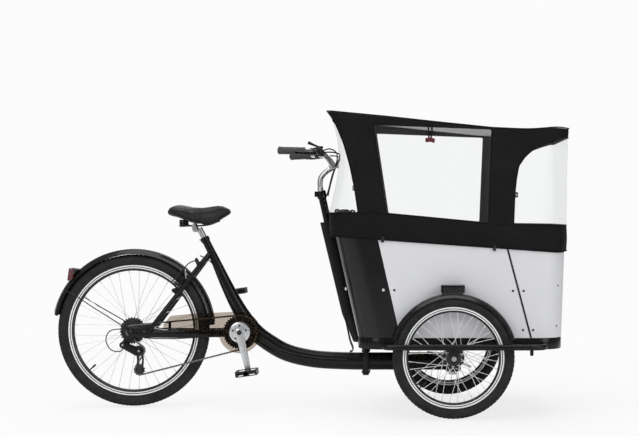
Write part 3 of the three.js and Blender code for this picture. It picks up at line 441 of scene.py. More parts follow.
def shown(name, form, materials, body, replaces=(), origin=(0, 0, 0), sharp=32, bevel=0.0,
          merge=True, uvs=None):
    """Turns a form into a finished piece that rides on a body, or on none yet."""
    origin = Vector(origin)
    mesh = bpy.data.meshes.new(name)
    mesh.from_pydata([(v - origin) * MM for v in form.verts], [], form.faces)
    for material in materials if isinstance(materials, (list, tuple)) else [materials]:
        mesh.materials.append(material)
    mesh.polygons.foreach_set("material_index", form.tones)
    if uvs:
        layer = mesh.uv_layers.new(name="cloth")
        for loop in mesh.loops:
            layer.data[loop.index].uv = uvs[loop.vertex_index]
    if merge:
        work = bmesh.new()
        work.from_mesh(mesh)
        bmesh.ops.remove_doubles(work, verts=work.verts, dist=0.00002)
        bmesh.ops.recalc_face_normals(work, faces=work.faces)
        work.to_mesh(mesh)
        work.free()
    obj = bpy.data.objects.new(name, mesh)
    bpy.context.scene.collection.objects.link(obj)
    obj.location = origin * MM
    if bevel:
        edge = obj.modifiers.new("edges", "BEVEL")
        edge.width = bevel * MM
        edge.segments = 2
        edge.limit_method = "ANGLE"
        edge.angle_limit = math.radians(40)
        edge.harden_normals = False
    mesh.shade_smooth()
    mesh.set_sharp_from_angle(angle=math.radians(sharp))
    if replaces:
        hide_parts(*((replaces,) if isinstance(replaces, str) else replaces))
    if body:
        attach(obj, body)
    return obj


def catmull(points, count, closed=False):
    """Evenly spread points on a smooth curve through the given ones."""
    given = [Vector(p) for p in points]
    n = len(given)
    spans = n if closed else n - 1

    def at(i):
        if closed:
            return given[i % n]
        if i < 0:
            return given[0] * 2 - given[1]
        if i >= n:
            return given[-1] * 2 - given[-2]
        return given[i]

    dense = []
    for s in range(spans):
        p0, p1, p2, p3 = (at(s + k) for k in (-1, 0, 1, 2))
        k0, k1, k2 = ((b - a).length ** 0.5 + 1e-6 for a, b in ((p0, p1), (p1, p2), (p2, p3)))
        m1 = (p1 - p0) / k0 - (p2 - p0) / (k0 + k1) + (p2 - p1) / k1
        m2 = (p2 - p1) / k1 - (p3 - p1) / (k1 + k2) + (p3 - p2) / k2
        m1, m2 = m1 * k1, m2 * k1
        for j in range(12):
            t = j / 12
            dense.append(p1 * (2 * t**3 - 3 * t**2 + 1) + m1 * (t**3 - 2 * t**2 + t)
                         + p2 * (-2 * t**3 + 3 * t**2) + m2 * (t**3 - t**2))
    dense.append(at(spans) if not closed else dense[0].copy())
    lengths = [0.0]
    for a, b in zip(dense, dense[1:]):
        lengths.append(lengths[-1] + (b - a).length)
    marks = np.linspace(0, lengths[-1], count + (1 if closed else 0))
    flat = np.array([tuple(p) for p in dense])
    curve = np.stack([np.interp(marks, lengths, flat[:, k]) for k in range(3)], axis=1)
    return [Vector(p) for p in (curve[:-1] if closed else curve)]


def bridge(rings, closed=True, caps=True):
    """Quads between successive rings of equal length."""
    n = len(rings[0])
    verts = [v for ring in rings for v in ring]
    faces = []
    wrap = n if closed else n - 1
    for r in range(len(rings) - 1):
        for i in range(wrap):
            a, b = r * n + i, r * n + (i + 1) % n
            faces.append((a, b, b + n, a + n))
    if caps and closed:
        faces.append(tuple(reversed(range(n))))
        faces.append(tuple(range(len(verts) - n, len(verts))))
    return verts, faces


def frames_along(points, closed=False):
    """A side and an up vector at each point, turning as little as possible."""
    n = len(points)
    tangents = []
    for i in range(n):
        before = points[i - 1] if closed or i else points[0]
        after = points[(i + 1) % n] if closed or i + 1 < n else points[-1]
        tangents.append((after - before).normalized())
    side = tangents[0].cross(Vector((0, 0, 1)))
    if side.length < 0.1:
        side = tangents[0].cross(Vector((0, 1, 0)))
    out = []
    for t in tangents:
        side = (side - t * side.dot(t)).normalized()
        out.append((side.copy(), side.cross(t).normalized()))
    return out


def sweep(points, section, closed=False, scale=None, caps=True):
    """A section of (side, up) points carried along a path."""
    rings = []
    for i, (p, (side, up)) in enumerate(zip(points, frames_along(points, closed))):
        s = scale(i / max(1, len(points) - 1)) if scale else 1
        rings.append([p + side * (a * s) + up * (b * s) for a, b in section])
    if closed:
        rings.append(rings[0])
    return bridge(rings, caps=caps and not closed)


def circle(radius, sides=16, squash=1.0):
    return [(radius * math.cos(2 * math.pi * i / sides), radius * squash * math.sin(2 * math.pi * i / sides))
            for i in range(sides)]


def tube(points, radius, count=None, sides=14, closed=False, scale=None):
    """A round tube along a smooth curve through a few points."""
    if count is None:
        length = sum((Vector(b) - Vector(a)).length for a, b in zip(points, points[1:]))
        count = int(max(6, min(90, length / 9)))
    path = catmull(points, count, closed) if len(points) > 2 else [Vector(p) for p in points]
    return sweep(path, circle(radius, sides), closed, scale)


def bar(a, b, radius, sides=18, chamfer=0.8):
    """A straight round bar with chamfered ends."""
    a, b = Vector(a), Vector(b)
    along = (b - a).normalized()
    stops = [a, a + along * chamfer, b - along * chamfer, b]
    radii = [radius - chamfer, radius, radius, radius - chamfer]
    side, up = frames_along([a, b])[0]
    rings = [[p + side * (x * r) + up * (y * r) for x, y in circle(1, sides)] for p, r in zip(stops, radii)]
    return bridge(rings)


def across(x, z, y0, y1, radius, sides=24, chamfer=0.8):
    return bar((x, y0, z), (x, y1, z), radius, sides, chamfer)


def hexagon(x, z, y0, y1, radius):
    return across(x, z, y0, y1, radius, 6, 0.6)


def turned(centre, profile, segments=96, start=0.0, end=360.0):
    """Revolves (radius, y) points about the Y axis through a centre. Part turns get end caps."""
    full = abs(end - start) >= 360
    steps = segments if full else segments + 1
    rings = []
    for i in range(steps):
        a = math.radians(start + (end - start) * i / segments)
        rings.append([Vector((centre[0] + r * math.cos(a), centre[1] + y, centre[2] + r * math.sin(a)))
                      for r, y in profile])
    if full:
        rings.append(rings[0])
    return bridge(rings, caps=not full)


def block(x0, x1, y0, y1, z0, z1):
    corners = [(x, y, z) for x in (x0, x1) for y in (y0, y1) for z in (z0, z1)]
    faces = [(0, 1, 3, 2), (4, 6, 7, 5), (0, 4, 5, 1), (2, 3, 7, 6), (0, 2, 6, 4), (1, 5, 7, 3)]
    return corners, faces


def polar(centre, radius, degrees):
    """The (x, z) point of a circle at an angle from +X towards +Z."""
    a = math.radians(degrees)
    return centre[0] + radius * math.cos(a), centre[1] + radius * math.sin(a)


def arc(centre, radius, start, end, steps):
    """Points of an arc in the XZ plane; angles in degrees from +X towards +Z."""
    return [polar(centre, radius, start + (end - start) * i / steps) for i in range(steps + 1)]


def plate(outlines, y0, y1, edge=0.6):
    """A flat plate in the XZ plane with rounded edges; the outlines after the first are holes."""
    edge = min(edge, (y1 - y0) / 2 - 0.01)
    data = bpy.data.curves.new("plate", "CURVE")
    data.dimensions = "2D"
    data.fill_mode = "BOTH"
    data.extrude = (y1 - y0) / 2 - edge
    data.bevel_depth = edge
    data.bevel_resolution = 1
    data.offset = -edge
    for outline in outlines:
        spline = data.splines.new("POLY")
        spline.points.add(len(outline) - 1)
        for point, (x, z) in zip(spline.points, outline):
            point.co = (x, z, 0, 1)
        spline.use_cyclic_u = True
    obj = bpy.data.objects.new("plate", data)
    bpy.context.scene.collection.objects.link(obj)
    bpy.context.view_layer.update()
    mesh = bpy.data.meshes.new_from_object(obj.evaluated_get(bpy.context.evaluated_depsgraph_get()))
    verts = [Vector((v.co.x, (y0 + y1) / 2 - v.co.z, v.co.y)) for v in mesh.vertices]
    faces = [tuple(p.vertices) for p in mesh.polygons]
    bpy.data.objects.remove(obj)
    bpy.data.meshes.remove(mesh)
    bpy.data.curves.remove(data)
    return verts, faces


def side_plate(outlines, side, y_in, y_out, edge=0.6):
    """A plate on one side of the bicycle, between two distances from its centre plane."""
    return plate(outlines, *sorted((side * y_in, side * y_out)), edge)


def joined(*shapes):
    form = Form()
    for shape in shapes:
        form.add(shape)
    return form


def rounded_outline(points, radius, steps=4):
    """Rounds the corners of a polygon of (x, z) points."""
    out = []
    n = len(points)
    for i in range(n):
        p = Vector(points[i])
        before, after = Vector(points[i - 1]), Vector(points[(i + 1) % n])
        cut_a = min(radius, (before - p).length * 0.45)
        cut_b = min(radius, (after - p).length * 0.45)
        a = p + (before - p).normalized() * cut_a
        b = p + (after - p).normalized() * cut_b
        for k in range(steps + 1):
            t = k / steps
            out.append(tuple(a * (1 - t) ** 2 + p * 2 * t * (1 - t) + b * t * t))
    return out


def pitch_radius(teeth):
    return CHAIN_PITCH / 2 / math.sin(math.pi / teeth)


# One tooth: its share of the step round, and its height as a share of the tooth depth.
TOOTH = ((0, -1), (0.16, -0.7), (0.36, 0.45), (0.45, 0.75), (0.55, 0.75), (0.64, 0.45), (0.84, -0.7))


def teeth_outline(centre, teeth, depth):
    """Sprocket outline: rounded valleys for the rollers and narrow tips."""
    step = 360 / teeth
    return [polar(centre, pitch_radius(teeth) + depth * height, 360 * i / teeth + step * share)
            for i in range(teeth) for share, height in TOOTH]


def screw(x, y, z, side, radius=5.0, height=2.6):
    """A domed screw head that points along Y, with a recess."""
    profile = [(0.01, height * 0.55), (radius * 0.3, height * 0.55), (radius * 0.36, height),
               (radius * 0.7, height * 0.85), (radius, height * 0.3), (radius, 0)]
    return turned((x, y, z), [(r, h * side) for r, h in profile], 18)


# ------------------------------------------------------------------ wheels
def make_tyre(name, node, body, centre, outer_r, half, seat_r):
    """Tyre whose tread blocks are cut by slanted grooves out to the shoulders."""
    blocks = round(outer_r * 2 * math.pi / 19)
    per_block, steps, depth = 6, 26, 2.4
    middle, high = (seat_r + outer_r) / 2, (outer_r - seat_r) / 2
    rings = []
    for i in range(blocks * per_block):
        a = 2 * math.pi * i / (blocks * per_block)
        ring = []
        for j in range(steps):
            t = 2 * math.pi * j / steps
            c = math.cos(t)
            y = half * math.sin(t)
            r = middle + high * math.copysign(abs(c) ** 0.85, c)
            phase = (i / per_block + abs(math.sin(t)) * 1.4 + (0.5 if y > 0 else 0)) % 1
            if c > 0.12 and (phase < 0.3 or j == 0):
                r -= depth * min(1, (c - 0.12) * 4)
            ring.append(Vector((centre.x + r * math.cos(a), centre.y + y, centre.z + r * math.sin(a))))
        rings.append(ring)
    rings.append(rings[0])
    form = joined(bridge(rings, caps=False))
    for side in SIDES.values():
        form.add(turned(centre, [(seat_r + 13, side * half * 0.80), (seat_r + 15, side * half * 0.88),
                                 (seat_r + 17, side * half * 0.86)], 120))
        bead = ((-1.5, 12.4), (-1.5, 13.8), (6, 17), (6, 12))
        form.add(turned(centre, [(seat_r + r, side * y) for r, y in bead], 120))
    shown(name, form, TYRE, body, node, centre, 40)


def make_rim(name, node, body, centre, rim_r, inner_r):
    """A dark rim with two bright machined rings on each side."""
    body_shape = [(rim_r + 1, -12), (rim_r + 1.6, -10.5), (rim_r - 2, -9), (rim_r - 2, 9), (rim_r + 1.6, 10.5),
                  (rim_r + 1, 12), (rim_r - 14.5, 11.4), (inner_r + 3, 7), (inner_r, 4), (inner_r, -4),
                  (inner_r + 3, -7), (rim_r - 14.5, -11.4)]
    form = Form().add(turned(centre, body_shape, 144), 1)
    for outer, inner in ((1.8, 8.0), (11.2, 15.8)):
        for side in SIDES.values():
            form.add(turned(centre, [(rim_r - outer, side * 11.2), (rim_r - outer - 0.4, side * 12.4),
                                     (rim_r - inner + 0.4, side * 12.2), (rim_r - inner, side * 11)], 144), 0)
    shown(name, form, [TRACK, RIM_BLACK], body, node, centre, 28)


def make_spokes(name, body, centre, inner_r, flanges, count=36):
    """Crossed spokes with a nipple each, and the valve."""
    form = Form()
    for i in range(count):
        flange_r, flange_y = flanges[i % 2]
        rim_a = 2 * math.pi * (i + 0.5) / count
        hub_a = rim_a + (1 if (i // 2) % 2 else -1) * math.radians(54)
        start = centre + Vector((flange_r * math.cos(hub_a), flange_y, flange_r * math.sin(hub_a)))
        end = centre + Vector((inner_r * math.cos(rim_a), flange_y * 0.08, inner_r * math.sin(rim_a)))
        form.add(bar(start, end, 1.2, 6, 0.2))
        form.add(bar(end + (start - end).normalized() * 13, end, 2.0, 8, 0.4))
        form.add(bar(start + Vector((0, -2.5, 0)), start + Vector((0, 2.5, 0)), 2.0, 8, 0.5))
    valve_a = math.radians(222)
    out = Vector((math.cos(valve_a), 0, math.sin(valve_a)))
    form.add(bar(centre + out * inner_r, centre + out * (inner_r - 30), 3, 10, 0.6), 1)
    form.add(bar(centre + out * (inner_r - 16), centre + out * (inner_r - 34), 4.2, 12, 1.2), 1)
    shown(name, form, [SPOKE, PLASTIC], body, origin=centre)


def make_rear_wheel():
    centre = REAR_AXLE
    body = "rear_wheel"
    make_tyre("rear_tyre_tread", "rear_tyre", body, centre, REAR_TYRE_R, REAR_TYRE_HALF, REAR_RIM_R)
    make_rim("rear_rim_profile", "rear_rim", body, centre, REAR_RIM_R, REAR_RIM_INNER_R)
    make_spokes("rear_spokes", body, centre, REAR_RIM_INNER_R, [(27, -15), (24, 32)])
    profile = [(6.5, -58), (12, -58.4), (14, -56), (14, -20), (17, -18), (31, -17), (31.6, -15), (31, -13),
               (19, -10), (17, -4), (17, 20), (19, 27), (28, 30), (28.6, 32), (28, 34), (15, 37), (14, 56),
               (12, 58.4), (6.5, 58)]
    shown("rear_hub_shell", joined(turned(centre, profile, 64)), STEEL, body, "rear_hub", centre)


def make_front_wheel(suffix):
    side = SIDES[suffix]
    centre = FRONT_AXLE[suffix]
    body = f"front_wheel_{suffix}"
    make_tyre(f"front_tyre_tread_{suffix}", f"front_tyre_{suffix}", body, centre, FRONT_TYRE_R, FRONT_TYRE_HALF,
              FRONT_RIM_R)
    make_rim(f"front_rim_profile_{suffix}", f"front_rim_{suffix}", body, centre, FRONT_RIM_R, FRONT_RIM_INNER_R)
    make_spokes(f"front_spokes_{suffix}", body, centre, FRONT_RIM_INNER_R, [(41, -8 * side), (26, 29 * side)])
    profile = [(7.5, -33.5), (40, -34), (42, -32), (43, -13), (44.5, -10), (44.5, -6), (43, -5), (24, -1), (21, 3),
               (21, 20), (24, 25), (30, 27), (30.6, 29), (30, 31), (16, 34), (13, 36), (7.5, 36)]
    hub = turned(centre, [(r, y * side) for r, y in profile], 64)
    shown(f"front_hub_shell_{suffix}", joined(hub), DARK_STEEL, body, f"front_hub_{suffix}", centre)


# ------------------------------------------------------------------ mudguards and rear light
def mudguard(centre, radius, half, start, end, crown):
    """A crowned band with rolled edges, as a part turn about the wheel's axle."""
    steps = 10
    outer, inner = [], []
    for i in range(steps + 1):
        t = 2 * i / steps - 1
        fall = crown * (abs(t) ** 2.4)
        outer.append((radius - fall, half * t))
        inner.append((radius - fall - 1.8, (half - 1.5) * t))
    outer[0] = (outer[0][0] - 2, outer[0][1] + 0.4)
    outer[-1] = (outer[-1][0] - 2, outer[-1][1] - 0.4)
    return turned(centre, outer + inner[::-1], 120, start, end)


def make_rear_mudguard():
    centre = REAR_AXLE
    form = joined(mudguard(centre, 353, 30, 4, 169, 20))
    for y in (-14, 14):
        form.add(turned(centre, [(351.5, y - 1.2), (353.4, y), (351.5, y + 1.2)], 90, 6, 167))
    shown("rear_mudguard", form, FENDER, "rear_frame", "rear_fender")
    edge = polar((centre.x, centre.z), 343, 149)
    for suffix, side in SIDES.items():
        wire = joined(tube([(-20, side * 68.5, 344), (-90, side * 60, 386), (-160, side * 52, 428),
                            (-240, side * 41, 478), (edge[0], side * 32.5, edge[1])], 2.4, 40, 10))
        wire.add(across(-20, 344, side * 65.5, side * 71, 5.5))
        wire.add(across(edge[0] + 3, edge[1] - 2, side * 28, side * 35, 4.5))
        shown(f"mudguard_stay_{suffix}", wire, PAINT, "rear_frame", f"fender_stay_{suffix}")


def make_tail_light():
    centre = (REAR_AXLE.x, REAR_AXLE.z)
    foot = [polar(centre, 354, a) for a in (137.5, 134.5, 131.5)]
    body = rounded_outline([(-281, 549), *foot, (-274, 600)], 4)
    lens = rounded_outline([(-284, 545.5), (-262, 551), (-253, 592), (-276, 602.5)], 5)
    shown("tail_light_case", joined(plate([body], -34, 34, 3)), PLASTIC, "rear_frame", ())
    shown("tail_light_lens", joined(plate([lens], -36, 36, 3)), LENS, "rear_frame", "tail_light")


# ------------------------------------------------------------------ rear frame
MAIN_TUBE = [
    (304.8, 734.5, 16.5, 16.5), (333, 679, 17, 17), (365, 610, 20, 21), (397, 540, 22, 25), (437, 459, 25, 29),
    (478, 388, 27, 33), (530, 320, 29, 37), (590, 274, 30, 38), (662, 234, 30, 38), (774, 206, 30, 38),
    (924, 196, 30, 38), (1120, 195, 30, 38), (1382, 195, 30, 38),
]


def oval_tube(stations, count, sides=28):
    """Oval tube running forward; stations are (x, y, z, half width across Y, half height)."""
    path = catmull([s[:3] for s in stations], count)
    xs = [s[0] for s in stations]
    rings = []
    for i, p in enumerate(path):
        along = path[min(i + 1, count - 1)] - path[max(i - 1, 0)]
        up = Vector((-along.z, 0, along.x)).normalized()
        half_y = np.interp(p.x, xs, [s[3] for s in stations])
        half_up = np.interp(p.x, xs, [s[4] for s in stations])
        rings.append([p + Vector((0, a * half_y, 0)) + up * (b * half_up) for a, b in circle(1, sides)])
    return bridge(rings)


def stay_point(along, y):
    return Vector((STAY_LOW.x + STAY_UP.x * along, y, STAY_LOW.z + STAY_UP.z * along))


def turned_plate(outlines, low, high, edge, axis):
    """A plate whose thickness runs along X (outline in Y and Z) or along Z (outline in X and Y)."""
    verts, faces = plate(outlines, low, high, edge)
    if axis == "x":
        return [Vector((v.y, v.x, v.z)) for v in verts], faces
    return [Vector((v.x, v.z, v.y)) for v in verts], faces


def ring_outline(x, z, radius, steps=28):
    return arc((x, z), radius, 0, 360 - 360 / steps, steps - 1)


def make_frame():
    form = joined(oval_tube([(x, 0, z, a, b) for x, z, a, b in MAIN_TUBE], 110, 36))
    form.add(across(BB.x, BB.z, -34, 34, 22, 40, 1.5))
    form.add(across(362, 319, -42, 42, 7, 24))
    form.add(bar((STEERING_X, 0, 152), (STEERING_X, 0, 262), 34, 48, 2))
    form.add(bar((STEERING_X, 0, 158), (STEERING_X, 0, 166), 36, 48, 2))
    form.add(bar((STEERING_X, 0, 246), (STEERING_X, 0, 254), 36, 48, 2))
    flange = rounded_outline([(-42, 136), (42, 136), (42, 256), (-42, 256)], 16)
    form.add(turned_plate([flange], 998, 1024, 2.5, "x"))
    for side in SIDES.values():
        form.add(tube([stay_point(-22, side * 68.5), stay_point(60, side * 66.5), stay_point(185, side * 50),
                       stay_point(290, side * 43.5), stay_point(350, side * 34), stay_point(405, side * 12)],
                      10.5, 60, 20))
        form.add(oval_tube([(52, side * 63, 319, 8, 16), (170, side * 60, 318, 9, 17), (315, side * 44, 318, 9, 17),
                            (392, side * 33, 320, 9, 17), (456, side * 20, 323, 9, 15)], 34, 20))
        ear = rounded_outline([(-16, 318), (-12, 342), (8, 350), (70, 352), (96, 340), (96, 308), (14, 306)], 6)
        form.add(side_plate([ear, ring_outline(0, REAR_AXLE.z, 5.5)], side, 59, 65, 1))
        if side == RIGHT:
            hanger = rounded_outline([(20, 308), (-10, 314), (-44, 282), (-44, 262), (-28, 262), (16, 292)], 5)
            form.add(side_plate([hanger], side, 59, 65, 1))
        form.add(bar(brake_point(side, 0, -19), brake_point(side, 0, 10), 5, 20))
    shown("frame_tubes", form, PAINT, "rear_frame", "rear_frame", sharp=42)


def make_frame_bolts():
    bolts = Form()
    for y in (-32, 32):
        for z in (150, 242):
            bolts.add(bar((993, y, z), (1029, y, z), 5, 6, 0.8))
    for side in SIDES.values():
        bolts.add(hexagon(0, REAR_AXLE.z, side * 65.5, side * 73, 9.5))
        bolts.add(across(0, REAR_AXLE.z, side * 58, side * 76, 5, 20))
    shown("frame_bolts", bolts, DARK_STEEL, "rear_frame", "rear_axle")


def make_seat_clamp():
    collar_low, collar_top = (SEAT_TUBE_TOP + SEAT_DIRECTION * d for d in (-20, -1))
    collar = joined(bar(collar_low, collar_top, 20, 40, 1.5))
    shown("seat_clamp_collar", collar, PAINT, "rear_frame", "seat_clamp")
    bolt = joined(across(290, 723, -13, 13, 3.6, 16))
    shown("seat_clamp_bolt", bolt, STEEL, "rear_frame", ())


# ------------------------------------------------------------------ transmission
def taper(a, b, ra, rb, steps=10):
    """Outline of a bar with round ends of two radii, between two (x, z) points."""
    heading = math.degrees(math.atan2(b[1] - a[1], b[0] - a[0]))
    beta = math.degrees(math.acos((ra - rb) / math.hypot(b[0] - a[0], b[1] - a[1])))
    near_end = arc(a, ra, heading + beta, heading + 360 - beta, steps)
    return near_end + arc(b, rb, heading - beta, heading + beta, steps)


def make_crankset():
    centre = (BB.x, BB.z)
    for suffix, side, turn in (("right", RIGHT, 0), ("left", LEFT, math.pi)):
        angle = CRANK_ANGLE + turn
        tip = (BB.x + CRANK_LENGTH * math.cos(angle), BB.z + CRANK_LENGTH * math.sin(angle))
        inner, outer = (68, 82) if side == RIGHT else (60.3, 76)
        arm = joined(side_plate([taper(centre, tip, 19, 11.5, 14)], side, inner, outer, 3.5))
        arm.add(across(*tip, side * (inner + 1), side * 172, 4.8, 20))
        arm.add(hexagon(*tip, side * (outer - 1), side * (outer + 4), 7.5))
        if side == RIGHT:
            profile = [(9, -70), (40, -70), (44, -68.5), (46, -65), (46, -57), (44.5, -54.5), (9, -54.5)]
            arm.add(turned((BB.x, 0, BB.z), profile, 72))
            arm.add(turned((BB.x, 0, BB.z), [(33, -70.6), (36, -71.4), (39, -70.6), (39, -69), (33, -69)], 64))
        shown(f"crank_arm_{suffix}", arm, SILVER, "crank", f"crank_{suffix}", sharp=36)
        cap = joined(across(*centre, side * (outer - 1), side * (outer + 1.6), 10.5, 28, 1))
        if side == RIGHT:
            for a in range(5):
                spot = polar(centre, 30, 72 * a + 20)
                cap.add(across(*spot, -72.6, -69, 4.4, 16, 0.8))
        shown(f"crank_bolts_{suffix}", cap, DARK_STEEL, "crank", ())
    outlines = [teeth_outline(centre, CHAINRING_TEETH, 3.4), ring_outline(*centre, 36)]
    ring = plate(outlines, CHAIN_Y - 1.4, CHAIN_Y + 1.4, 0.5)
    shown("chainring_teeth", joined(ring), DARK_STEEL, "crank", "chainring")


def make_pedal(suffix, side, turn):
    angle = CRANK_ANGLE + turn
    place = Vector((BB.x + CRANK_LENGTH * math.cos(angle), 0, BB.z + CRANK_LENGTH * math.sin(angle)))
    near, far = side * 86, side * 174
    y0, y1 = sorted((near, far))
    middle = (y0 + y1) / 2
    form = joined(across(0, 0, near, far, 11, 28, 1.5))
    end = rounded_outline([(-44, -9), (-38, -12), (38, -12), (44, -9), (44, 9), (38, 12), (-38, 12), (-44, 9)], 4)
    slots = [rounded_outline([(a, -8), (b, -8), (b, 8), (a, 8)], 3) for a, b in ((-38, -13), (13, 38))]
    for y in (y0, y1 - 7):
        form.add(plate([end, *slots], y, y + 7, 1.5))
    rail = [(a * 3, b * 12) for a, b in ((-1, -0.8), (1, -1), (1, 1), (-1, 0.8))]
    for x in (-43, 43):
        form.add(sweep([Vector((x, y0 + 3, 0)), Vector((x, y1 - 3, 0))], rail))
        for z in (-11, 11):
            for i in range(7):
                y = y0 + 10 + i * 11.5
                form.add(block(x - 2.8, x + 2.8, y, y + 5, z - 1.2, z + 1.2))
    form.add(block(-40, 40, middle - 4, middle + 4, -8, 8))
    move = Matrix.Translation(place) @ Matrix.Rotation(math.radians(-8), 4, "Y")
    shown(f"pedal_body_{suffix}", form.moved(move), PLASTIC, f"pedal_{suffix}", f"pedal_{suffix}",
          sharp=36)
    reflectors = Form()
    for x in (-46, 46):
        inner = math.copysign(43.5, x)
        reflectors.add(block(min(x, inner), max(x, inner), y0 + 22, y1 - 22, -6, 6))
    shown(f"pedal_reflectors_{suffix}", reflectors.moved(move), AMBER, f"pedal_{suffix}", (),
          bevel=0.8)


def make_sprockets():
    form = Form()
    for i, teeth in enumerate(SPROCKET_TEETH):
        y = CHAIN_Y + i * SPROCKET_SPACING
        hole = ring_outline(0, REAR_AXLE.z, 15.5)
        form.add(plate([teeth_outline((0, REAR_AXLE.z), teeth, 3.4), hole], y - 1, y + 1, 0.35))
        form.add(turned(REAR_AXLE, [(15.4, y), (20, y), (20, y + 3.6), (15.4, y + 3.6)], 40))
    shown("sprocket_stack", form, DARK_STEEL, "sprockets", "sprocket_cluster")


def chain_circles():
    """The circles that the chain runs round, in order, with the way it turns on each."""
    return [
        (BB.x, BB.z, pitch_radius(CHAINRING_TEETH), 1), (0, REAR_AXLE.z, pitch_radius(SPROCKET_TEETH[0]), 1),
        (GUIDE_PULLEY.x, GUIDE_PULLEY.z, pitch_radius(PULLEY_TEETH), -1),
        (TENSION_PULLEY.x, TENSION_PULLEY.z, pitch_radius(PULLEY_TEETH), 1),
    ]


def chain_loop():
    """Points one pitch apart along the chain's middle line, with the index where the lower run starts."""
    circles = chain_circles()

    def contact(a, b):
        heading = math.atan2(b[1] - a[1], b[0] - a[0])
        heading += math.asin((a[3] * a[2] - b[3] * b[2]) / math.hypot(b[0] - a[0], b[1] - a[1]))
        return [heading - c[3] * math.pi / 2 for c in (a, b)]

    dense, lower_from = [], 0
    for i, c in enumerate(circles):
        start = contact(circles[i - 1], c)[1]
        end = contact(c, circles[(i + 1) % 4])[0]
        turn = (end - start) * c[3] % (2 * math.pi)
        if i == 2:
            lower_from = len(dense)
        for k in range(61):
            a = start + c[3] * turn * k / 60
            dense.append((c[0] + c[2] * math.cos(a), c[1] + c[2] * math.sin(a)))
    dense.append(dense[0])
    flat = np.array(dense)
    lengths = np.concatenate([[0], np.cumsum(np.hypot(*np.diff(flat, axis=0).T))])
    count = 2 * round(lengths[-1] / CHAIN_PITCH / 2)
    marks = np.linspace(0, lengths[-1], count + 1)
    points = [(np.interp(m, lengths, flat[:, 0]), np.interp(m, lengths, flat[:, 1])) for m in marks]
    return points, int(np.searchsorted(marks, lengths[lower_from]))


def chain_link(a, b, wide):
    """Two side plates, a roller and its pin between two (x, z) pins."""
    middle = Vector((b[0] - a[0], b[1] - a[1])).normalized()
    across_link = Vector((-middle.y, middle.x))
    outline = []
    for centre, sense in ((Vector(a), -1), (Vector(b), 1)):
        for k in range(6):
            t = math.radians(-70 + 28 * k)
            spot = centre + (middle * math.cos(t) * sense + across_link * math.sin(t) * sense) * 4.2
            outline.append(tuple(spot))
    waist = [(Vector(a) + Vector(b)) / 2 + across_link * w for w in (3.0, -3.0)]
    outline.insert(6, tuple(waist[1]))
    outline.append(tuple(waist[0]))
    form = Form()
    low = 2.9 if wide else 1.7
    for sense in (-1, 1):
        rings = [[Vector((x, CHAIN_Y + sense * y, z)) for x, z in outline] for y in (low, low + 1.1)]
        form.add(bridge(rings))
    form.add(across(*a, CHAIN_Y - 1.6, CHAIN_Y + 1.6, 3.9, 12, 0.3))
    form.add(across(*a, CHAIN_Y - 4.4, CHAIN_Y + 4.4, 1.8, 8, 0.4))
    return form


def make_chain():
    """The upper run stays on the frame; the lower run, which runs round the tensioner's pulleys, is left on no body.
    """
    points, split = chain_loop()
    runs = {"chain_upper_run": Form(), "chain_lower_run": Form()}
    for i in range(len(points) - 1):
        run = "chain_upper_run" if i < split else "chain_lower_run"
        runs[run].add(chain_link(points[i], points[i + 1], i % 2 == 0))
    shown("chain_upper_run", runs["chain_upper_run"], CHAIN, "rear_frame", "chain", sharp=30)
    lower = shown("chain_lower_run", runs["chain_lower_run"], CHAIN, None, (), sharp=30)
    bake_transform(lower)


def make_chain_guard():
    straight = rounded_outline([(400, 345), (138, 345), (138, 356), (168, 396), (259, 405), (400, 414)], 10)
    outline = arc((BB.x, BB.z), 90, 95, -165, 48)
    outline += [p for p in straight if p[0] < 385]
    sheet = plate([outline, ring_outline(BB.x, BB.z, 52, 48)], GUARD_Y - 1.2, GUARD_Y + 1.2, 0.5)
    form = joined(sheet)
    form.add(turned((BB.x, GUARD_Y, BB.z), [(51, -2.2), (54, -2.2), (54, 2.2), (51, 2.2)], 64))
    shown("chain_guard_sheet", form, SMOKE, "rear_frame", "chain_guard")
    upright = rounded_outline([(160, 336.5), (172, 336.5), (172, 372), (160, 372)], 3)
    bracket = joined(plate([upright], GUARD_Y + 1.5, GUARD_Y + 3.5, 0.5),
                     block(158, 174, GUARD_Y + 1.5, CHAIN_Y, 335.5, 338.2))
    shown("chain_guard_bracket", bracket, PAINT, "rear_frame", ())


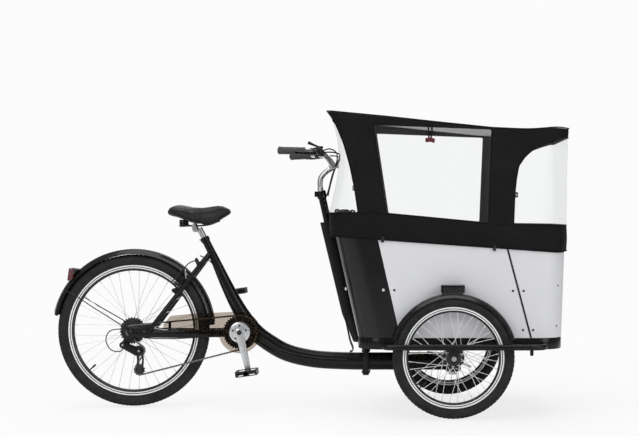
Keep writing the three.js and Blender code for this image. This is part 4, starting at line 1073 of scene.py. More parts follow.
def make_derailleur():
    near, far = -65.3, -79.3
    link = rounded_outline([(-42, 262), (-30, 254), (24, 224), (46, 236), (42, 258), (-22, 282), (-40, 282)], 6)
    form = joined(plate([link], far, far + 4, 1.2), plate([link], near - 4, near, 1.2))
    form.add(across(-34, 272, far - 2, near, 14, 32, 1.5))
    form.add(across(GUIDE_PULLEY.x, GUIDE_PULLEY.z, far - 1.5, CHAIN_Y - 7.5, 14, 32, 1.5))
    form.add(tube([(-22, -72, 270), (10, -72, 252), (34, -72, 240)], 4.5, 12, 10))
    form.add(across(-34, 272, far - 5, far, 5, 6, 0.6), 1)
    form.add(across(36, 246, far - 3.5, far, 5, 6, 0.6), 1)
    shown("derailleur_links", form, [PAINT, STEEL], "rear_frame", "derailleur_body", sharp=40)
    cage = arc((GUIDE_PULLEY.x, GUIDE_PULLEY.z), 15, 170, 10, 10) + [(52, 205)]
    cage += arc((TENSION_PULLEY.x, TENSION_PULLEY.z), 14, 10, -170, 16) + [(24, 205)]
    slot_hole = rounded_outline([(33, 226), (43, 226), (46, 205), (42, 184), (32, 184), (31, 205)], 4)
    form = Form()
    for y in (CHAIN_Y - 7, CHAIN_Y + 5):
        form.add(plate([cage, slot_hole], y, y + 2, 0.6))
    for pulley in (GUIDE_PULLEY, TENSION_PULLEY):
        form.add(across(pulley.x, pulley.z, CHAIN_Y - 8.5, CHAIN_Y + 8, 3.2, 16))
        form.add(hexagon(pulley.x, pulley.z, CHAIN_Y - 9.5, CHAIN_Y - 6.5, 5))
    shown("derailleur_cage_plates", form, DARK_STEEL, "derailleur_cage", "derailleur_cage", sharp=40)
    for name, pulley in (("guide_pulley", GUIDE_PULLEY), ("tension_pulley", TENSION_PULLEY)):
        spot = (pulley.x, pulley.z)
        wheel = joined(plate([teeth_outline(spot, PULLEY_TEETH, 2.8), ring_outline(*spot, 8, 20)],
                             CHAIN_Y - 1.2, CHAIN_Y + 1.2, 0.4))
        wheel.add(turned(pulley, [(3.4, -3.6), (9, -3.6), (9.5, -2.5), (9.5, 2.5), (9, 3.6), (3.4, 3.6)], 32))
        shown(f"{name}_teeth", wheel, PLASTIC, name, name)


# ------------------------------------------------------------------ rear brake
def brake_point(side, up, behind, y=46.0):
    p = stay_point(188 + up, side * y)
    back = 20 + behind
    return Vector((p.x - STAY_UP.z * back, p.y, p.z + STAY_UP.x * back))


def make_rear_brake():
    for suffix, side in SIDES.items():
        arm = [brake_point(side, up, 0, y) for up, y in ((-8, 45), (10, 46), (40, 46.5), (75, 46), (96, 43))]
        section = [(a * 5.2, b * 6.2) for a, b in circle(1, 16)]
        form = joined(sweep(catmull(arm, 22), section, scale=lambda t: 1.12 - 0.4 * t))
        form.add(bar(brake_point(side, 0, -13), brake_point(side, 0, 11), 8.5, 28, 1.2))
        form.add(bar(brake_point(side, 0, 10), brake_point(side, 0, 14), 4.5, 6, 0.5), 1)
        form.add(bar(brake_point(side, 24, 0, 51), brake_point(side, 24, 0, 22), 3, 14, 0.6), 1)
        form.add(bar(brake_point(side, 24, 0, 51), brake_point(side, 24, 0, 46), 6, 6, 0.6), 1)
        form.add(bar(brake_point(side, 88, -3), brake_point(side, 88, 6), 4, 12, 0.6), 1)
        middle = brake_point(side, 24, 0, 17.6)
        tangent = Vector((-(middle.z - REAR_AXLE.z), 0, middle.x)).normalized()
        pad = [middle + tangent * t for t in (-27, -25, 25, 27)]
        shape = [(-5, -5.2), (5, -5.2), (6, -3), (6, 3), (5, 5.2), (-5, 5.2), (-6, 3), (-6, -3)]
        form.add(sweep(pad, [(a * 0.7, b) for a, b in shape], scale=lambda t: 0.82 if t in (0, 1) else 1), 2)
        shown(f"rear_brake_{suffix}", form, [PAINT, STEEL, GRIP], f"rear_brake_arm_{suffix}",
              f"rear_brake_arm_{suffix}", sharp=40)
    top = {name: brake_point(side, 88, 2, 44) for name, side in SIDES.items()}
    bend = ((0, -6, -18), (-2, -16, 6), (-3, -4, 26), (-2, 18, 27), (0, 38, 9))
    noodle = tube([top["right"] + Vector(p) for p in bend], 2.6, 30, 12)
    boot = [top["right"] + Vector((0, 38, 9)), top["left"] + Vector((0, -8, 1))]
    ribs = [boot[0].lerp(boot[1], i / 24) for i in range(25)]
    bellows = sweep(ribs, circle(1, 14), scale=lambda t: 5.2 if round(t * 24) % 2 else 3.8)
    shown("rear_brake_noodle", joined(noodle), STEEL, "rear_brake_arm_right", ())
    guide = joined(bar(brake_point(RIGHT, 152, -14, 32), brake_point(RIGHT, 164, 10, 32), 8.5, 24, 2))
    guide.add(bar(brake_point(RIGHT, 158, -2, 32), brake_point(RIGHT, 168, 14, 32), 6, 24, 1.5))
    run = ((160, 8, 32), (132, 24, 34), (100, 27, 38), (70, 30, 42), (20, 34, 46))
    guide.add(tube([brake_point(RIGHT, *p) for p in run], 2.6, 40, 10))
    shown("brake_cable_guide", guide, PLASTIC, "rear_frame", ())
    shown("rear_brake_boot", joined(bellows), GRIP, "rear_brake_arm_right", ())


# ------------------------------------------------------------------ seat
SADDLE_SECTIONS = [
    (153, 62, 850, 832), (164, 92, 868, 827), (190, 104, 875, 820), (225, 100, 870, 807), (255, 84, 863, 794),
    (300, 54, 861, 784), (326, 43, 864, 781), (345, 38, 867, 788), (373, 33, 871, 804), (388, 30, 872, 814),
    (414, 22, 863, 832), (426, 10, 849, 840),
]


RAIL_CHANNEL_TOP = 812


def saddle_ring(x, inset=0.0, sides=48):
    """Cross-section of the saddle at x; its sides hang down round a channel for the rails."""
    table = np.array(SADDLE_SECTIONS, float)
    half, top, low = (np.interp(x, table[:, 0], table[:, k]) for k in (1, 2, 3))
    half, top, low = half - inset, top - inset, low + inset
    channel = np.interp(x, (194, 202, 250, 320, 345, 378, 382), (0, 31, 30, 27, 24, 19, 0))
    ring = []
    for i in range(sides):
        a = 2 * math.pi * (i + 0.5) / sides
        c, s = math.cos(a), math.sin(a)
        y = half * math.copysign(abs(c) ** 0.65, c)
        z = (top + low) / 2 + (top - low) / 2 * math.copysign(abs(s) ** 0.8, s)
        if abs(y) < channel:
            z = max(z, RAIL_CHANNEL_TOP)
        ring.append(Vector((x, y, z)))
    return ring


def puffed(obj, cap, hold_below):
    """Blows a closed mesh up as cloth, then caps how far each point has moved, in millimetres."""
    scene = bpy.context.scene
    bpy.context.view_layer.objects.active = obj
    remesh = obj.modifiers.new("remesh", "REMESH")
    remesh.mode = "VOXEL"
    remesh.voxel_size = 4.5 * MM
    apply_modifiers(obj)
    start = np.array([v.co for v in obj.data.vertices])
    cloth = obj.modifiers.new("cloth", "CLOTH")
    cloth.settings.use_pressure = True
    cloth.settings.uniform_pressure_force = 4.0
    cloth.settings.effector_weights.gravity = 0
    cloth.settings.quality = 6
    cloth.settings.tension_stiffness = cloth.settings.compression_stiffness = 22
    for number in range(1, 21):
        scene.frame_set(number)
    apply_modifiers(obj)
    end = np.array([v.co for v in obj.data.vertices])
    move = end - start
    far = np.linalg.norm(move, axis=1, keepdims=True)
    move *= np.minimum(1, cap * MM / np.maximum(far, 1e-9))
    held = np.clip((start[:, 2:3] / MM - hold_below) / 14, 0, 1)
    final = start + move * held
    obj.data.vertices.foreach_set("co", final.astype(np.float32).ravel())
    obj.data.update()
    scene.frame_set(1)


def apply_modifiers(obj):
    """Replaces an object's mesh by its evaluated one and clears the modifiers."""
    bpy.context.view_layer.update()
    evaluated = obj.evaluated_get(bpy.context.evaluated_depsgraph_get())
    mesh = bpy.data.meshes.new_from_object(evaluated)
    mesh.name = obj.data.name
    obj.modifiers.clear()
    obj.data = mesh
    mesh.shade_smooth()


def make_saddle():
    xs = np.linspace(154, 425.5, 58)
    cover = joined(bridge([saddle_ring(x, 3.0) for x in xs]))
    obj = shown("saddle_cover", cover, LEATHER, "seat", "saddle", sharp=180)
    puffed(obj, 5.0, 822)
    smooth = obj.modifiers.new("smooth", "SUBSURF")
    smooth.levels = smooth.render_levels = 1
    seams = Form()
    for side in SIDES.values():
        for lean, radius in ((0.55, 1.5), (-1.1, 2.0)):
            edge = [max(saddle_ring(x, 0.6), key=lambda v: v.y * side + lean * v.z)
                    for x in np.linspace(172, 416, 24)]
            seams.add(tube(edge, radius, 70, 8))
    shown("saddle_piping", seams, PLASTIC, "seat", ())


def coil(centre, radius, wire, turns, low, high):
    count = int(turns * 16)
    points = [Vector((centre[0] + radius * math.cos(2 * math.pi * i / 16),
                      centre[1] + radius * math.sin(2 * math.pi * i / 16), low + (high - low) * i / count))
              for i in range(count + 1)]
    return sweep(points, circle(wire, 8))


def make_saddle_rails():
    form = Form()
    for side in SIDES.values():
        form.add(tube([(212, side * 26, 797), (224, side * 26, 789), (240, side * 24, 785), (320, side * 22, 788),
                       (372, side * 10, 806)], 3.6, 50, 12))
        form.add(coil((218, side * 44), 11.5, 2.2, 4, 782, 801))
        form.add(bar((218, side * 44, 780), (218, side * 44, 784), 13, 24))
        form.add(bar((218, side * 44, 800), (218, side * 44, 811), 13, 24))
    form.add(tube([(218, -44, 788), (218, 0, 790), (218, 44, 788)], 3.8, 14, 12))
    form.add(across(368, 804, -14, 14, 4, 16))
    shown("saddle_frame", form, DARK_STEEL, "seat", "saddle_rails")
    low, high = SEAT_TUBE_TOP + SEAT_DIRECTION * -170, SEAT_TUBE_TOP + SEAT_DIRECTION * 44
    post = joined(bar(low, high, 12.7, 40), bar(SEAT_TUBE_TOP + SEAT_DIRECTION * 30, (270, 0, 768), 10, 28))
    post.add(across(268, 768, -22, 22, 11, 32, 1.5))
    for side in SIDES.values():
        post.add(side_plate([taper((268, 768), (264, 786), 10, 9)], side, 15, 29, 2))
        post.add(hexagon(268, 768, side * 22, side * 31, 7))
    shown("seat_post_tube", post, STEEL, "seat", "seat_post", sharp=40)


# ------------------------------------------------------------------ box
def box_half(panel, z, inset):
    """Plan points of one panel's left half at a height, from its seam round to the centre plane."""
    gap = 0.8
    y = BOX_HALF - inset
    if panel == "rear":
        seam, corner_x = rear_seam(z) - gap, rear_wall(z) + BOX_CORNER
        points = [(seam + (corner_x - seam) * k / 6, y) for k in range(6)]
        points += arc((corner_x, BOX_HALF - BOX_CORNER), BOX_CORNER - inset, 90, 180, BOX_CORNER_STEPS)
    elif panel == "front":
        seam, corner_x = front_seam(z) + gap, front_wall(z) - BOX_CORNER
        points = [(seam + (corner_x - seam) * k / 4, y) for k in range(4)]
        points += arc((corner_x, BOX_HALF - BOX_CORNER), BOX_CORNER - inset, 90, 0, BOX_CORNER_STEPS)
    else:
        x0, x1 = rear_seam(z) + gap, front_seam(z) - gap
        return [(x0 + (x1 - x0) * k / 16, y) for k in range(17)]
    last_x, last_y = points[-1]
    points += [(last_x, last_y * (1 - k / 6)) for k in range(1, 7)]
    return points


def box_panel(panel):
    """A panel's left half as a closed shell with a rolled top edge."""
    levels = [(v / 14, 0.0) for v in range(14)] + [(0.992, 0.0), (0.998, 1.5), (1.0, 4.5), (0.998, 7.5)]
    levels += [(0.992, BOX_WALL)] + [(v / 14, BOX_WALL) for v in range(13, -1, -1)]
    columns = None
    for share, inset in levels:
        z = BOX_LOW + share * (box_top(1350) - BOX_LOW)
        row = []
        for k, (x, y) in enumerate(box_half(panel, z, inset)):
            # The top edge slopes along x, and the seams lean with z, so the two are settled together.
            for _ in range(4):
                height = BOX_LOW + share * (box_top(x) - BOX_LOW)
                x, y = box_half(panel, height, inset)[k]
            row.append(Vector((x, y, BOX_LOW + share * (box_top(x) - BOX_LOW))))
        columns = [[p] for p in row] if columns is None else [c + [p] for c, p in zip(columns, row)]
    return bridge(columns)


def make_box():
    for panel, material, slot in (("rear", BLACK, "black_panel"), ("front", WHITE, "white_panel")):
        half = joined(box_panel(panel))
        shell = joined(half, half.flipped())
        shown(f"box_{panel}_shell", shell, material, "front_frame", f"box_{panel}_panel", sharp=50)
    side_panel = joined(box_panel("side"))
    shown("box_side_shell_left", side_panel, WHITE, "front_frame", "box_side_left", sharp=50)
    shown("box_side_shell_right", side_panel.flipped(), WHITE, "front_frame", "box_side_right",
          sharp=50)


def make_box_fittings():
    fittings, strips = Form(), Form()
    strip_low, strip_high, half_wide = 326, 748, 4
    outline = [(front_seam(strip_low) - half_wide, strip_low), (front_seam(strip_low) + half_wide, strip_low),
               (front_seam(strip_high) + half_wide, strip_high), (front_seam(strip_high) - half_wide, strip_high)]
    for side in SIDES.values():
        face = side * BOX_HALF
        for x, z in ((934, 522), (1092, 522)):
            y = face if x > 1000 else side * box_face_y(x, z)
            fittings.add(screw(x, y, z, side, 6, 2.6), 0)
        for x, z in ((1137, 522), (1626, 519), (1670, 519), (1667, 358), (1709, 358)):
            fittings.add(screw(x, face, z, side, 5, 2.4), 1)
        for z in (373, 540):
            fittings.add(screw(front_wall(z) - 30, side * box_face_y(front_wall(z) - 30, z), z, side, 4, 1.4), 1)
        strips.add(side_plate([outline], side, BOX_HALF, BOX_HALF + 1.6, 0.5))
    shown("box_screws", fittings, [SILVER, DARK_STEEL], "front_frame", ())
    shown("box_seam_strips", strips, PLASTIC, "front_frame", ())


def box_face_y(x, z):
    """How far the box's outer face stands from the centre plane at a point near a corner."""
    for corner_x, inward in ((rear_wall(z) + BOX_CORNER, -1), (front_wall(z) - BOX_CORNER, 1)):
        over = (x - corner_x) * inward
        if over > 0:
            return BOX_HALF - BOX_CORNER + math.sqrt(max(0, BOX_CORNER**2 - over**2))
    return BOX_HALF


def box_outline(z, inset):
    """Plan points all the way round the box at a height."""
    left = box_half("rear", z, inset)[::-1] + box_half("front", z, inset)
    right = [(x, -y) for x, y in left[::-1][1:-1]]
    return [Vector((x, y, 0)) for x, y in left + right]


def make_chassis():
    section = [(277, 3), (280, 1), (322, 1), (324.6, 3), (324.6, 22), (322, 24), (280, 24), (277, 22)]
    loops = []
    for z, inset in section:
        loops.append([p + Vector((0, 0, z)) for p in box_outline(BOX_LOW, inset)])
    form = joined(bridge([*loops, loops[0]], caps=False))
    for x in (1130, STEERING_X, 1650):
        form.add(block(x - 20, x + 20, -302, 302, 281, 321))
    form.add(block(1000, 1820, -25, 25, 283, 319))
    head = [ring_outline(STEERING_X, 0, 42, 40), ring_outline(STEERING_X, 0, 15, 24)]
    form.add(turned_plate(head, 262.5, 284, 1.5, "z"))
    bumper = ((1092, 310), (1094, 380), (1104, 418), (1140, 430), (1420, 430), (1705, 430), (1742, 418),
              (1752, 380), (1752, 310))
    for side in SIDES.values():
        form.add(tube([(x, side * y, 296) for x, y in bumper], 12, 110, 20))
        for y_in, y_out, top in ((324, 331, 300), (427, 433, 292)):
            outline = rounded_outline([(1355, top), (1365, 240), (1372, 232), (1386, 232), (1393, 240),
                                       (1403, top)], 4)
            form.add(side_plate([outline], side, y_in, y_out, 1))
        tab = rounded_outline([(1687, 290), (1687, 262), (1701, 262), (1701, 290)], 4)
        form.add(side_plate([tab], side, 424, 430, 1))
    shown("chassis_tubes", form, PAINT, "front_frame", "front_chassis", sharp=42)


def make_front_brake(suffix):
    side = SIDES[suffix]
    x, z = FRONT_AXLE[suffix].x, FRONT_AXLE[suffix].z
    torque_arm = rounded_outline([(1360, 264), (1272, 272), (1272, 262), (1360, 240)], 4)
    form = joined(side_plate([ring_outline(x, z, 41, 48)], side, 336.3, 343.7, 1.5))
    form.add(side_plate([torque_arm], side, 336.3, 343.7, 1))
    form.add(across(x, z, side * 332, side * 336.5, 16, 32))
    shown(f"drum_brake_plate_{suffix}", form, DARK_STEEL, "front_frame", f"brake_plate_{suffix}")
    cam = joined(side_plate([taper((1403.5, 228), (1450, 208), 6, 4.5)], side, 331.6, 335.4, 0.8))
    shown(f"brake_cam_arm_{suffix}", cam, STEEL, f"brake_cam_{suffix}", f"brake_cam_{suffix}")


def make_front_mudguard(suffix):
    side = SIDES[suffix]
    centre = FRONT_AXLE[suffix]
    form = joined(mudguard(centre, 262, 29, 17, 163, 16))
    form.add(turned(centre, [(261, side * 3 - 1.5), (262.4, side * 3), (261, side * 3 + 1.5)], 70, 19, 161))
    x, low = centre.x, centre.z + 254
    bracket = rounded_outline([(x - 50, 545), (x - 50, 512), (x - 36, low + 1), (x + 30, low + 4), (x + 46, 516),
                               (x + 46, 545)], 4)
    y_in, y_out = sorted((side * (BOX_HALF + 1.6), side * 396))
    form.add(plate([bracket], y_in, y_in + 5, 0.8))
    form.add(plate([bracket], y_out - 5, y_out, 0.8))
    form.add(block(x - 49, x + 45, y_in, y_out, 541, 545))
    form.add(block(x - 49, x - 45, y_in, y_out, 514, 544))
    for dx in (-30, 24):
        form.add(screw(x + dx, side * 396, 532, side, 4.5, 1.6), 0)
    shown(f"front_mudguard_{suffix}", form, [FENDER, STEEL], "front_frame", f"front_fender_{suffix}",
          sharp=36)


# ------------------------------------------------------------------ steering column and handlebar
def make_column():
    ahead = 22.5
    outline = rounded_outline([(post_x(800) - 33, 800), (post_x(402) - 25.5, 402), (957, 279), (983.4, 279),
                               (983.4, 310), (post_x(402) + ahead, 402), (post_x(800) + ahead, 800)], 7)
    form = joined(plate([outline], -20, 20, 5))
    top = [Vector((post_x(z), 0, z)) for z in (790, 906)]
    form.add(bar(*top, 16.5, 40, 1))
    collar = [Vector((post_x(z), 0, z)) for z in (904, 936)]
    form.add(bar(*collar, 20.5, 40, 2))
    form.add(block(787, 804, -9, 9, 910, 934))
    for z in (505, 660):
        form.add(block(post_x(z) + 15, rear_wall(z) - 2, -16, 16, z - 9, z + 5))
    shown("column_housing", form, PAINT, "front_frame", "steering_column", sharp=40, bevel=0.8)
    bolts = joined(across(794, 922, -13, 13, 3.2, 16))
    shown("column_bolts", bolts, DARK_STEEL, "front_frame", ())


GRIP_STEPS = 60


def bar_points(side):
    return [Vector((x, side * y, z)) for x, y, z in
            ((867, 0, 1045), (866, 34, 1047), (856, 74, 1066), (832, 125, 1092), (800, 182, 1099),
             (775, 211, 1100), (761, 222.5, 1100), (663, 303, 1099))]


def make_stem():
    quill = [Vector((post_x(z), 0, z)) for z in (777, 950)]
    form = joined(bar(*quill, 12.7, 36))
    neck = [(post_x(945), 0, 945), (811, 0, 972), (815, 0, 994), (831, 0, 1014), (850, 0, 1029), (867, 0, 1038)]
    form.add(tube(neck, 11.5, 30, 28))
    form.add(across(BAR_CLAMP.x, BAR_CLAMP.z, -17, 17, 17, 40, 2))
    form.add(block(880, 892, -15, 15, 1036, 1054))
    shown("stem_casting", form, SILVER, "handlebar", "stem", sharp=45)


def make_bar():
    path = bar_points(RIGHT)[::-1] + bar_points(LEFT)[1:]
    shown("handlebar_tube", joined(tube(path, 11, 110, 26)), SILVER, "handlebar", "handlebar", sharp=45)


def make_controls():
    """Lever clamps and pivots on both sides, and the gear shifter's case on the right."""
    controls = Form()
    for side in SIDES.values():
        inner, outer = bar_points(side)[4:6]
        along = (outer - inner).normalized()
        controls.add(bar(inner + along * 4, inner + along * 26, 15, 32, 2))
        pivot = lever_points(side)[0]
        controls.add(tube([(790, side * 192, 1104), (797, side * 204, 1103), (809, side * 213, 1101)], 6, 10, 16,
                          scale=lambda t: 1.1 - 0.35 * t))
        controls.add(bar(pivot + Vector((0, 0, -7)), pivot + Vector((0, 0, 9)), 6, 20, 1))
        controls.add(bar((800, side * 196, 1098), (820, side * 178, 1096), 5, 16, 1))
    controls.add(bar((826, -136, 1095), (814, -158, 1098), 16, 32, 2))
    shifter_case = rounded_outline([(786, 1098), (832, 1094), (834, 1112), (812, 1119), (790, 1116)], 6)
    controls.add(plate([shifter_case], -182, -156, 3))
    shown("lever_clamps", controls, PLASTIC, "handlebar", (), sharp=40)


def make_grip(suffix):
    """A ribbed grip with a thicker flange at both ends."""
    start, end = bar_points(SIDES[suffix])[-2:]
    along = (end - start).normalized()
    length = (end - start).length + 3
    stops, radii = [], []
    for i in range(GRIP_STEPS + 1):
        t = i / GRIP_STEPS
        rib = 0.9 if (i % 3 and 0.06 < t < 0.93) else 0
        radii.append((16.5 if t < 0.05 or t > 0.95 else 14.8 + rib) * (0.75 if i in (0, GRIP_STEPS) else 1))
        stops.append(start + along * (2 + (length - 2) * t))
    grip = sweep(stops, circle(1, 28), scale=lambda t: radii[min(GRIP_STEPS, round(t * GRIP_STEPS))])
    shown(f"grip_rubber_{suffix}", joined(grip), GRIP, "handlebar", f"grip_{suffix}", sharp=60)


def make_brake_lever(suffix):
    blade = catmull(lever_points(SIDES[suffix]), 26)
    section = [(a * 3.2, b * 6.2) for a, b in circle(1, 14)]
    lever = joined(sweep(blade, section, scale=lambda t: 1.15 - 0.45 * t + (0.25 if t > 0.95 else 0)))
    shown(f"brake_lever_blade_{suffix}", lever, PAINT, f"brake_lever_{suffix}", f"brake_lever_{suffix}",
          sharp=50)


def make_gear_lever():
    base = Vector((820, -147, 1115))
    shifter = joined(bar(base + Vector((0, 0, -1)), base + Vector((0, 0, 9)), 13, 36, 2))
    paddle = [base + Vector((-4, -4, 5)), base + Vector((-22, -14, 12)), Vector((772, -172, 1138))]
    shifter.add(tube(paddle, 5, 18, 16, scale=lambda t: 0.8 + 0.7 * t * t))
    shown("gear_lever_paddle", shifter, PLASTIC, "gear_lever", "gear_lever", sharp=45)


def lever_points(side):
    return [Vector((x, side * y, z)) for x, y, z in
            ((806, 213, 1093), (776, 262, 1090), (751, 296, 1089), (729, 321, 1091))]


def show_cables(name, body, runs):
    """Cables that ride on one body, each given as its points, radius and number of rings."""
    form = Form()
    for points, radius, count in runs:
        form.add(tube(points, radius, count, 10))
    shown(name, form, CABLE, body, ())


def make_cables():
    show_cables("control_cables", "handlebar", (
        ([(820, 178, 1096), (868, 150, 1095), (893, 80, 1080), (885, 20, 1052), (868, 4, 1018), (848, 2, 940),
          (843, 4, 915)], 3.0, 70),
        ([(820, -178, 1096), (872, -150, 1098), (900, -84, 1090), (888, -26, 1058), (872, -6, 1020),
          (851, -6, 942), (846, -7, 915)], 3.0, 70),
        ([(826, -138, 1104), (858, -118, 1114), (886, -70, 1098), (884, -22, 1060), (871, -12, 1018),
          (848, -12, 940), (841, -12, 915)], 2.8, 70),
    ))
    drops = [([(917, y, 402), (930, y, 340), (941, y * 1.2, 290), (954, y * 1.1, 243), (940, y, 236)], 2.4, 40)
             for y in (-24, 24)]
    drops.append(([(972, -30, 294), (984, -36, 268), (998, -40, 252), (1009, -44, 245)], 2.4, 24))
    show_cables("lower_cables", "front_frame", drops)
    show_cables("frame_cables", "rear_frame", (
        ([(930, -31, 205), (780, -32, 216), (660, -33, 243), (585, -33, 283), (520, -31, 330), (462, -29, 402),
          (420, -27, 478), (385, -24, 545), (352, -21, 610), (322, -20, 640), (290, -24, 655)], 2.4, 130),
        ([(930, 31, 205), (780, 32, 216), (662, 33, 240), (590, 34, 262), (500, 44, 290), (430, 44, 300),
          (300, 30, 296), (150, -40, 296), (40, -66, 306), (-41, -70, 339), (-92, -72, 330), (-107, -72, 293),
          (-84, -72, 250), (-41, -72, 246), (-34, -72, 262)], 2.4, 170),
    ))
    ties = Form()
    for x, z in ((820, 208), (640, 246), (430, 460), (375, 565)):
        ties.add(across(x, z, -35, -28, 4, 10, 0.5))
    shown("cable_ties", ties, PLASTIC, "rear_frame", ())


# ------------------------------------------------------------------ rain hood
HOOD_RISE = (0, 0.589, 0.783, 1)
HOOD_REAR, HOOD_FRONT, HOOD_HALF, HOOD_CORNER = (
    np.polyfit(HOOD_RISE, values, 3)
    for values in ((862, 903, 892, 856), (1858, 1859, 1860, 1862), (331, 318, 312, 306), (104, 62, 46, 34))
)


def hood_plan(rise):
    """(rear x, front x, half width, corner radius); rise is 0 at the skirt's top and 1 at the roof."""
    up = max(rise, 0)
    curves = (HOOD_REAR, HOOD_FRONT, HOOD_HALF, HOOD_CORNER)
    rear, front, half, corner = (float(np.polyval(curve, up)) for curve in curves)
    return rear - 3 * min(rise, 0), front, half, corner


def skirt_low(x):
    return 743.5 - 0.0703 * (x - 890) + 8 * max(0, (x - 1805) / 53) ** 2


def skirt_top(x):
    return np.interp(x, (862, 1060, 1104, 1524, 1600, 1858), (841, 842, 839, 799, 793, 790))


def clear_top(x):
    return np.interp(x, (862, 1050, 1539, 1700, 1858), (1226, 1205, 1186, 1168, 1152))


def roof_edge(x):
    sag = np.interp(x, (856, 1123, 1309, 1541, 1686, 1818, 1858), (0, -6, -13, -20, -16, 2, 0))
    return 1264 - 0.0728 * (x - 856) + sag


def edge_x(name, z):
    """Where a border between fabric and clear sheet lies along the side, at a height."""
    table = {
        "rear_pillar": ((841, 950, 971, 1033, 1129, 1204, 1262), (987, 971, 966, 953, 926, 895, 857)),
        "window_rear": ((841, 1205), (1104, 1050)),
        "window_front": ((797, 1188), (1524, 1539)),
        "front_pillar": ((814, 923, 978, 1033, 1074, 1108, 1136, 1157),
                         (1630, 1635, 1641, 1651, 1679, 1720, 1790, 1859)),
    }[name]
    return float(np.interp(z, *table))


def plan_length(plan, x):
    """Distance round the left half of a plan, from the rear centre to the place on its side at x."""
    rear, front, half, corner = plan
    straight = half - corner
    if x < rear + corner:
        return straight + corner * math.acos(min(1, max(-1, (rear + corner - x) / corner)))
    flat = straight + corner * math.pi / 2
    if x <= front - corner:
        return flat + x - rear - corner
    flat += front - rear - 2 * corner
    return flat + corner * math.asin(min(1, max(-1, (x - front + corner) / corner)))


def plan_point(plan, s):
    """(x, y, outward x, outward y) at a distance round the left half of a plan."""
    rear, front, half, corner = plan
    straight, bend, side = half - corner, corner * math.pi / 2, front - rear - 2 * corner
    if s < straight:
        return rear, s, -1, 0
    s -= straight
    if s < bend:
        a = math.pi - s / corner
        return rear + corner + corner * math.cos(a), straight + corner * math.sin(a), math.cos(a), math.sin(a)
    s -= bend
    if s < side:
        return rear + corner + s, half, 0, 1
    s -= side
    if s < bend:
        a = math.pi / 2 - s / corner
        return front - corner + corner * math.cos(a), straight + corner * math.sin(a), math.cos(a), math.sin(a)
    return front, max(0.0, straight - (s - bend)), 1, 0


BANDS = [("clear_rear", 18), ("rear_pillar", 6), ("window", 24), ("front_pillar", 6), ("clear_front", 22)]
SKIRT_ROWS, WALL_ROWS, BAND_ROWS, ROOF_RINGS = 7, 22, 4, 12


def row_height(kind, share, x):
    if kind == "skirt":
        return skirt_low(x) + (skirt_top(x) - skirt_low(x)) * share
    if kind == "wall":
        return skirt_top(x) + (clear_top(x) - skirt_top(x)) * share
    return clear_top(x) + (roof_edge(x) - clear_top(x)) * share


def row_rise(kind, share):
    return {"skirt": share - 1, "wall": 0.88 * share, "band": 0.88 + 0.12 * share}[kind]


def hood_rows():
    rows = [("skirt", k / SKIRT_ROWS) for k in range(SKIRT_ROWS)]
    rows += [("wall", k / WALL_ROWS) for k in range(WALL_ROWS)]
    rows += [("band", k / BAND_ROWS) for k in range(BAND_ROWS + 1)]
    return rows


def hood_row(kind, share):
    """One row of the left half: points, outward directions and distance round."""
    plan = hood_plan(row_rise(kind, share))
    stops = [0.0]
    for name in ("rear_pillar", "window_rear", "window_front", "front_pillar"):
        x = 1300.0
        for _ in range(6):
            x = edge_x(name, row_height(kind, share, x))
        stops.append(plan_length(plan, x))
    stops.append(plan_length(plan, plan[1]) + plan[2] - plan[3])
    row = []
    for (name, count), a, b in zip(BANDS, stops, stops[1:]):
        for k in range(count):
            row.append(a + (b - a) * k / count)
    row.append(stops[-1])
    out = []
    for s in row:
        x, y, nx, ny = plan_point(plan, s)
        out.append((Vector((x, y, row_height(kind, share, x))), Vector((nx, ny, 0)), s))
    return out


def hood_column(band, end=0):
    """Column number where a band starts, or ends when end is 1."""
    names = [name for name, _ in BANDS]
    at = names.index(band) + end
    return sum(count for _, count in BANDS[:at])


def folds(p, outward, amount, scale, seed):
    """Soft creases: moves a point along its outward direction."""
    q = Vector((p.x * scale, p.y * scale, p.z * scale * 0.7 + seed))
    return p + outward * (amount * noise.fractal(q, 0.9, 2.1, 3))


def hood_half():
    """Rows of points of the left half of the hood, from the skirt's hem to the roof's middle line."""
    rows, lengths = [], []
    for kind, share in hood_rows():
        row = []
        for p, outward, s in hood_row(kind, share):
            if kind == "skirt":
                drawn = (1 - share) ** 2
                gather = math.sin(s * 0.21 + 0.8 * math.sin(s * 0.037)) * (0.4 + 1.6 * drawn)
                p = p + outward * (gather - 1.5 * drawn + 2.2 * math.sin(share * math.pi))
                if p.x < 1000:
                    beside_column = np.interp(p.y, (0, 60, 150), (1, 1, 0))
                    p.x += 18.5 * (1 - share) * beside_column
                p = folds(p, outward, 1.4, 0.02, 3)
            else:
                ease = min(1, share * 4) if kind == "wall" else 1
                p = folds(p, outward, 1.6 * ease, 0.009, 11)
            row.append(p)
        rows.append(row)
        lengths.append([s for _, _, s in hood_row(kind, share)])
    edge = rows[-1]
    for ring in range(1, ROOF_RINGS + 1):
        t = ring / ROOF_RINGS
        inward = 1 - (1 - t) ** 1.25
        row = []
        for p in edge:
            core_x = min(max(p.x, 1090), 1650)
            flat = Vector((p.x + (core_x - p.x) * inward, p.y * (1 - inward), 0))
            middle = 1264 - 0.0728 * (flat.x - 856) - 12 - 6 * math.sin(math.pi * (flat.x - 856) / 1003)
            z = p.z + (middle - p.z) * min(1, t * 1.05) + 3 * math.sin(math.pi * min(1, 3 * t))
            z += 3.0 * t * noise.fractal(Vector((flat.x * 0.008, flat.y * 0.008, 5)), 0.9, 2.1, 3)
            row.append(Vector((flat.x, flat.y, z)))
        rows.append(row)
        lengths.append(lengths[-1])
    return rows, lengths


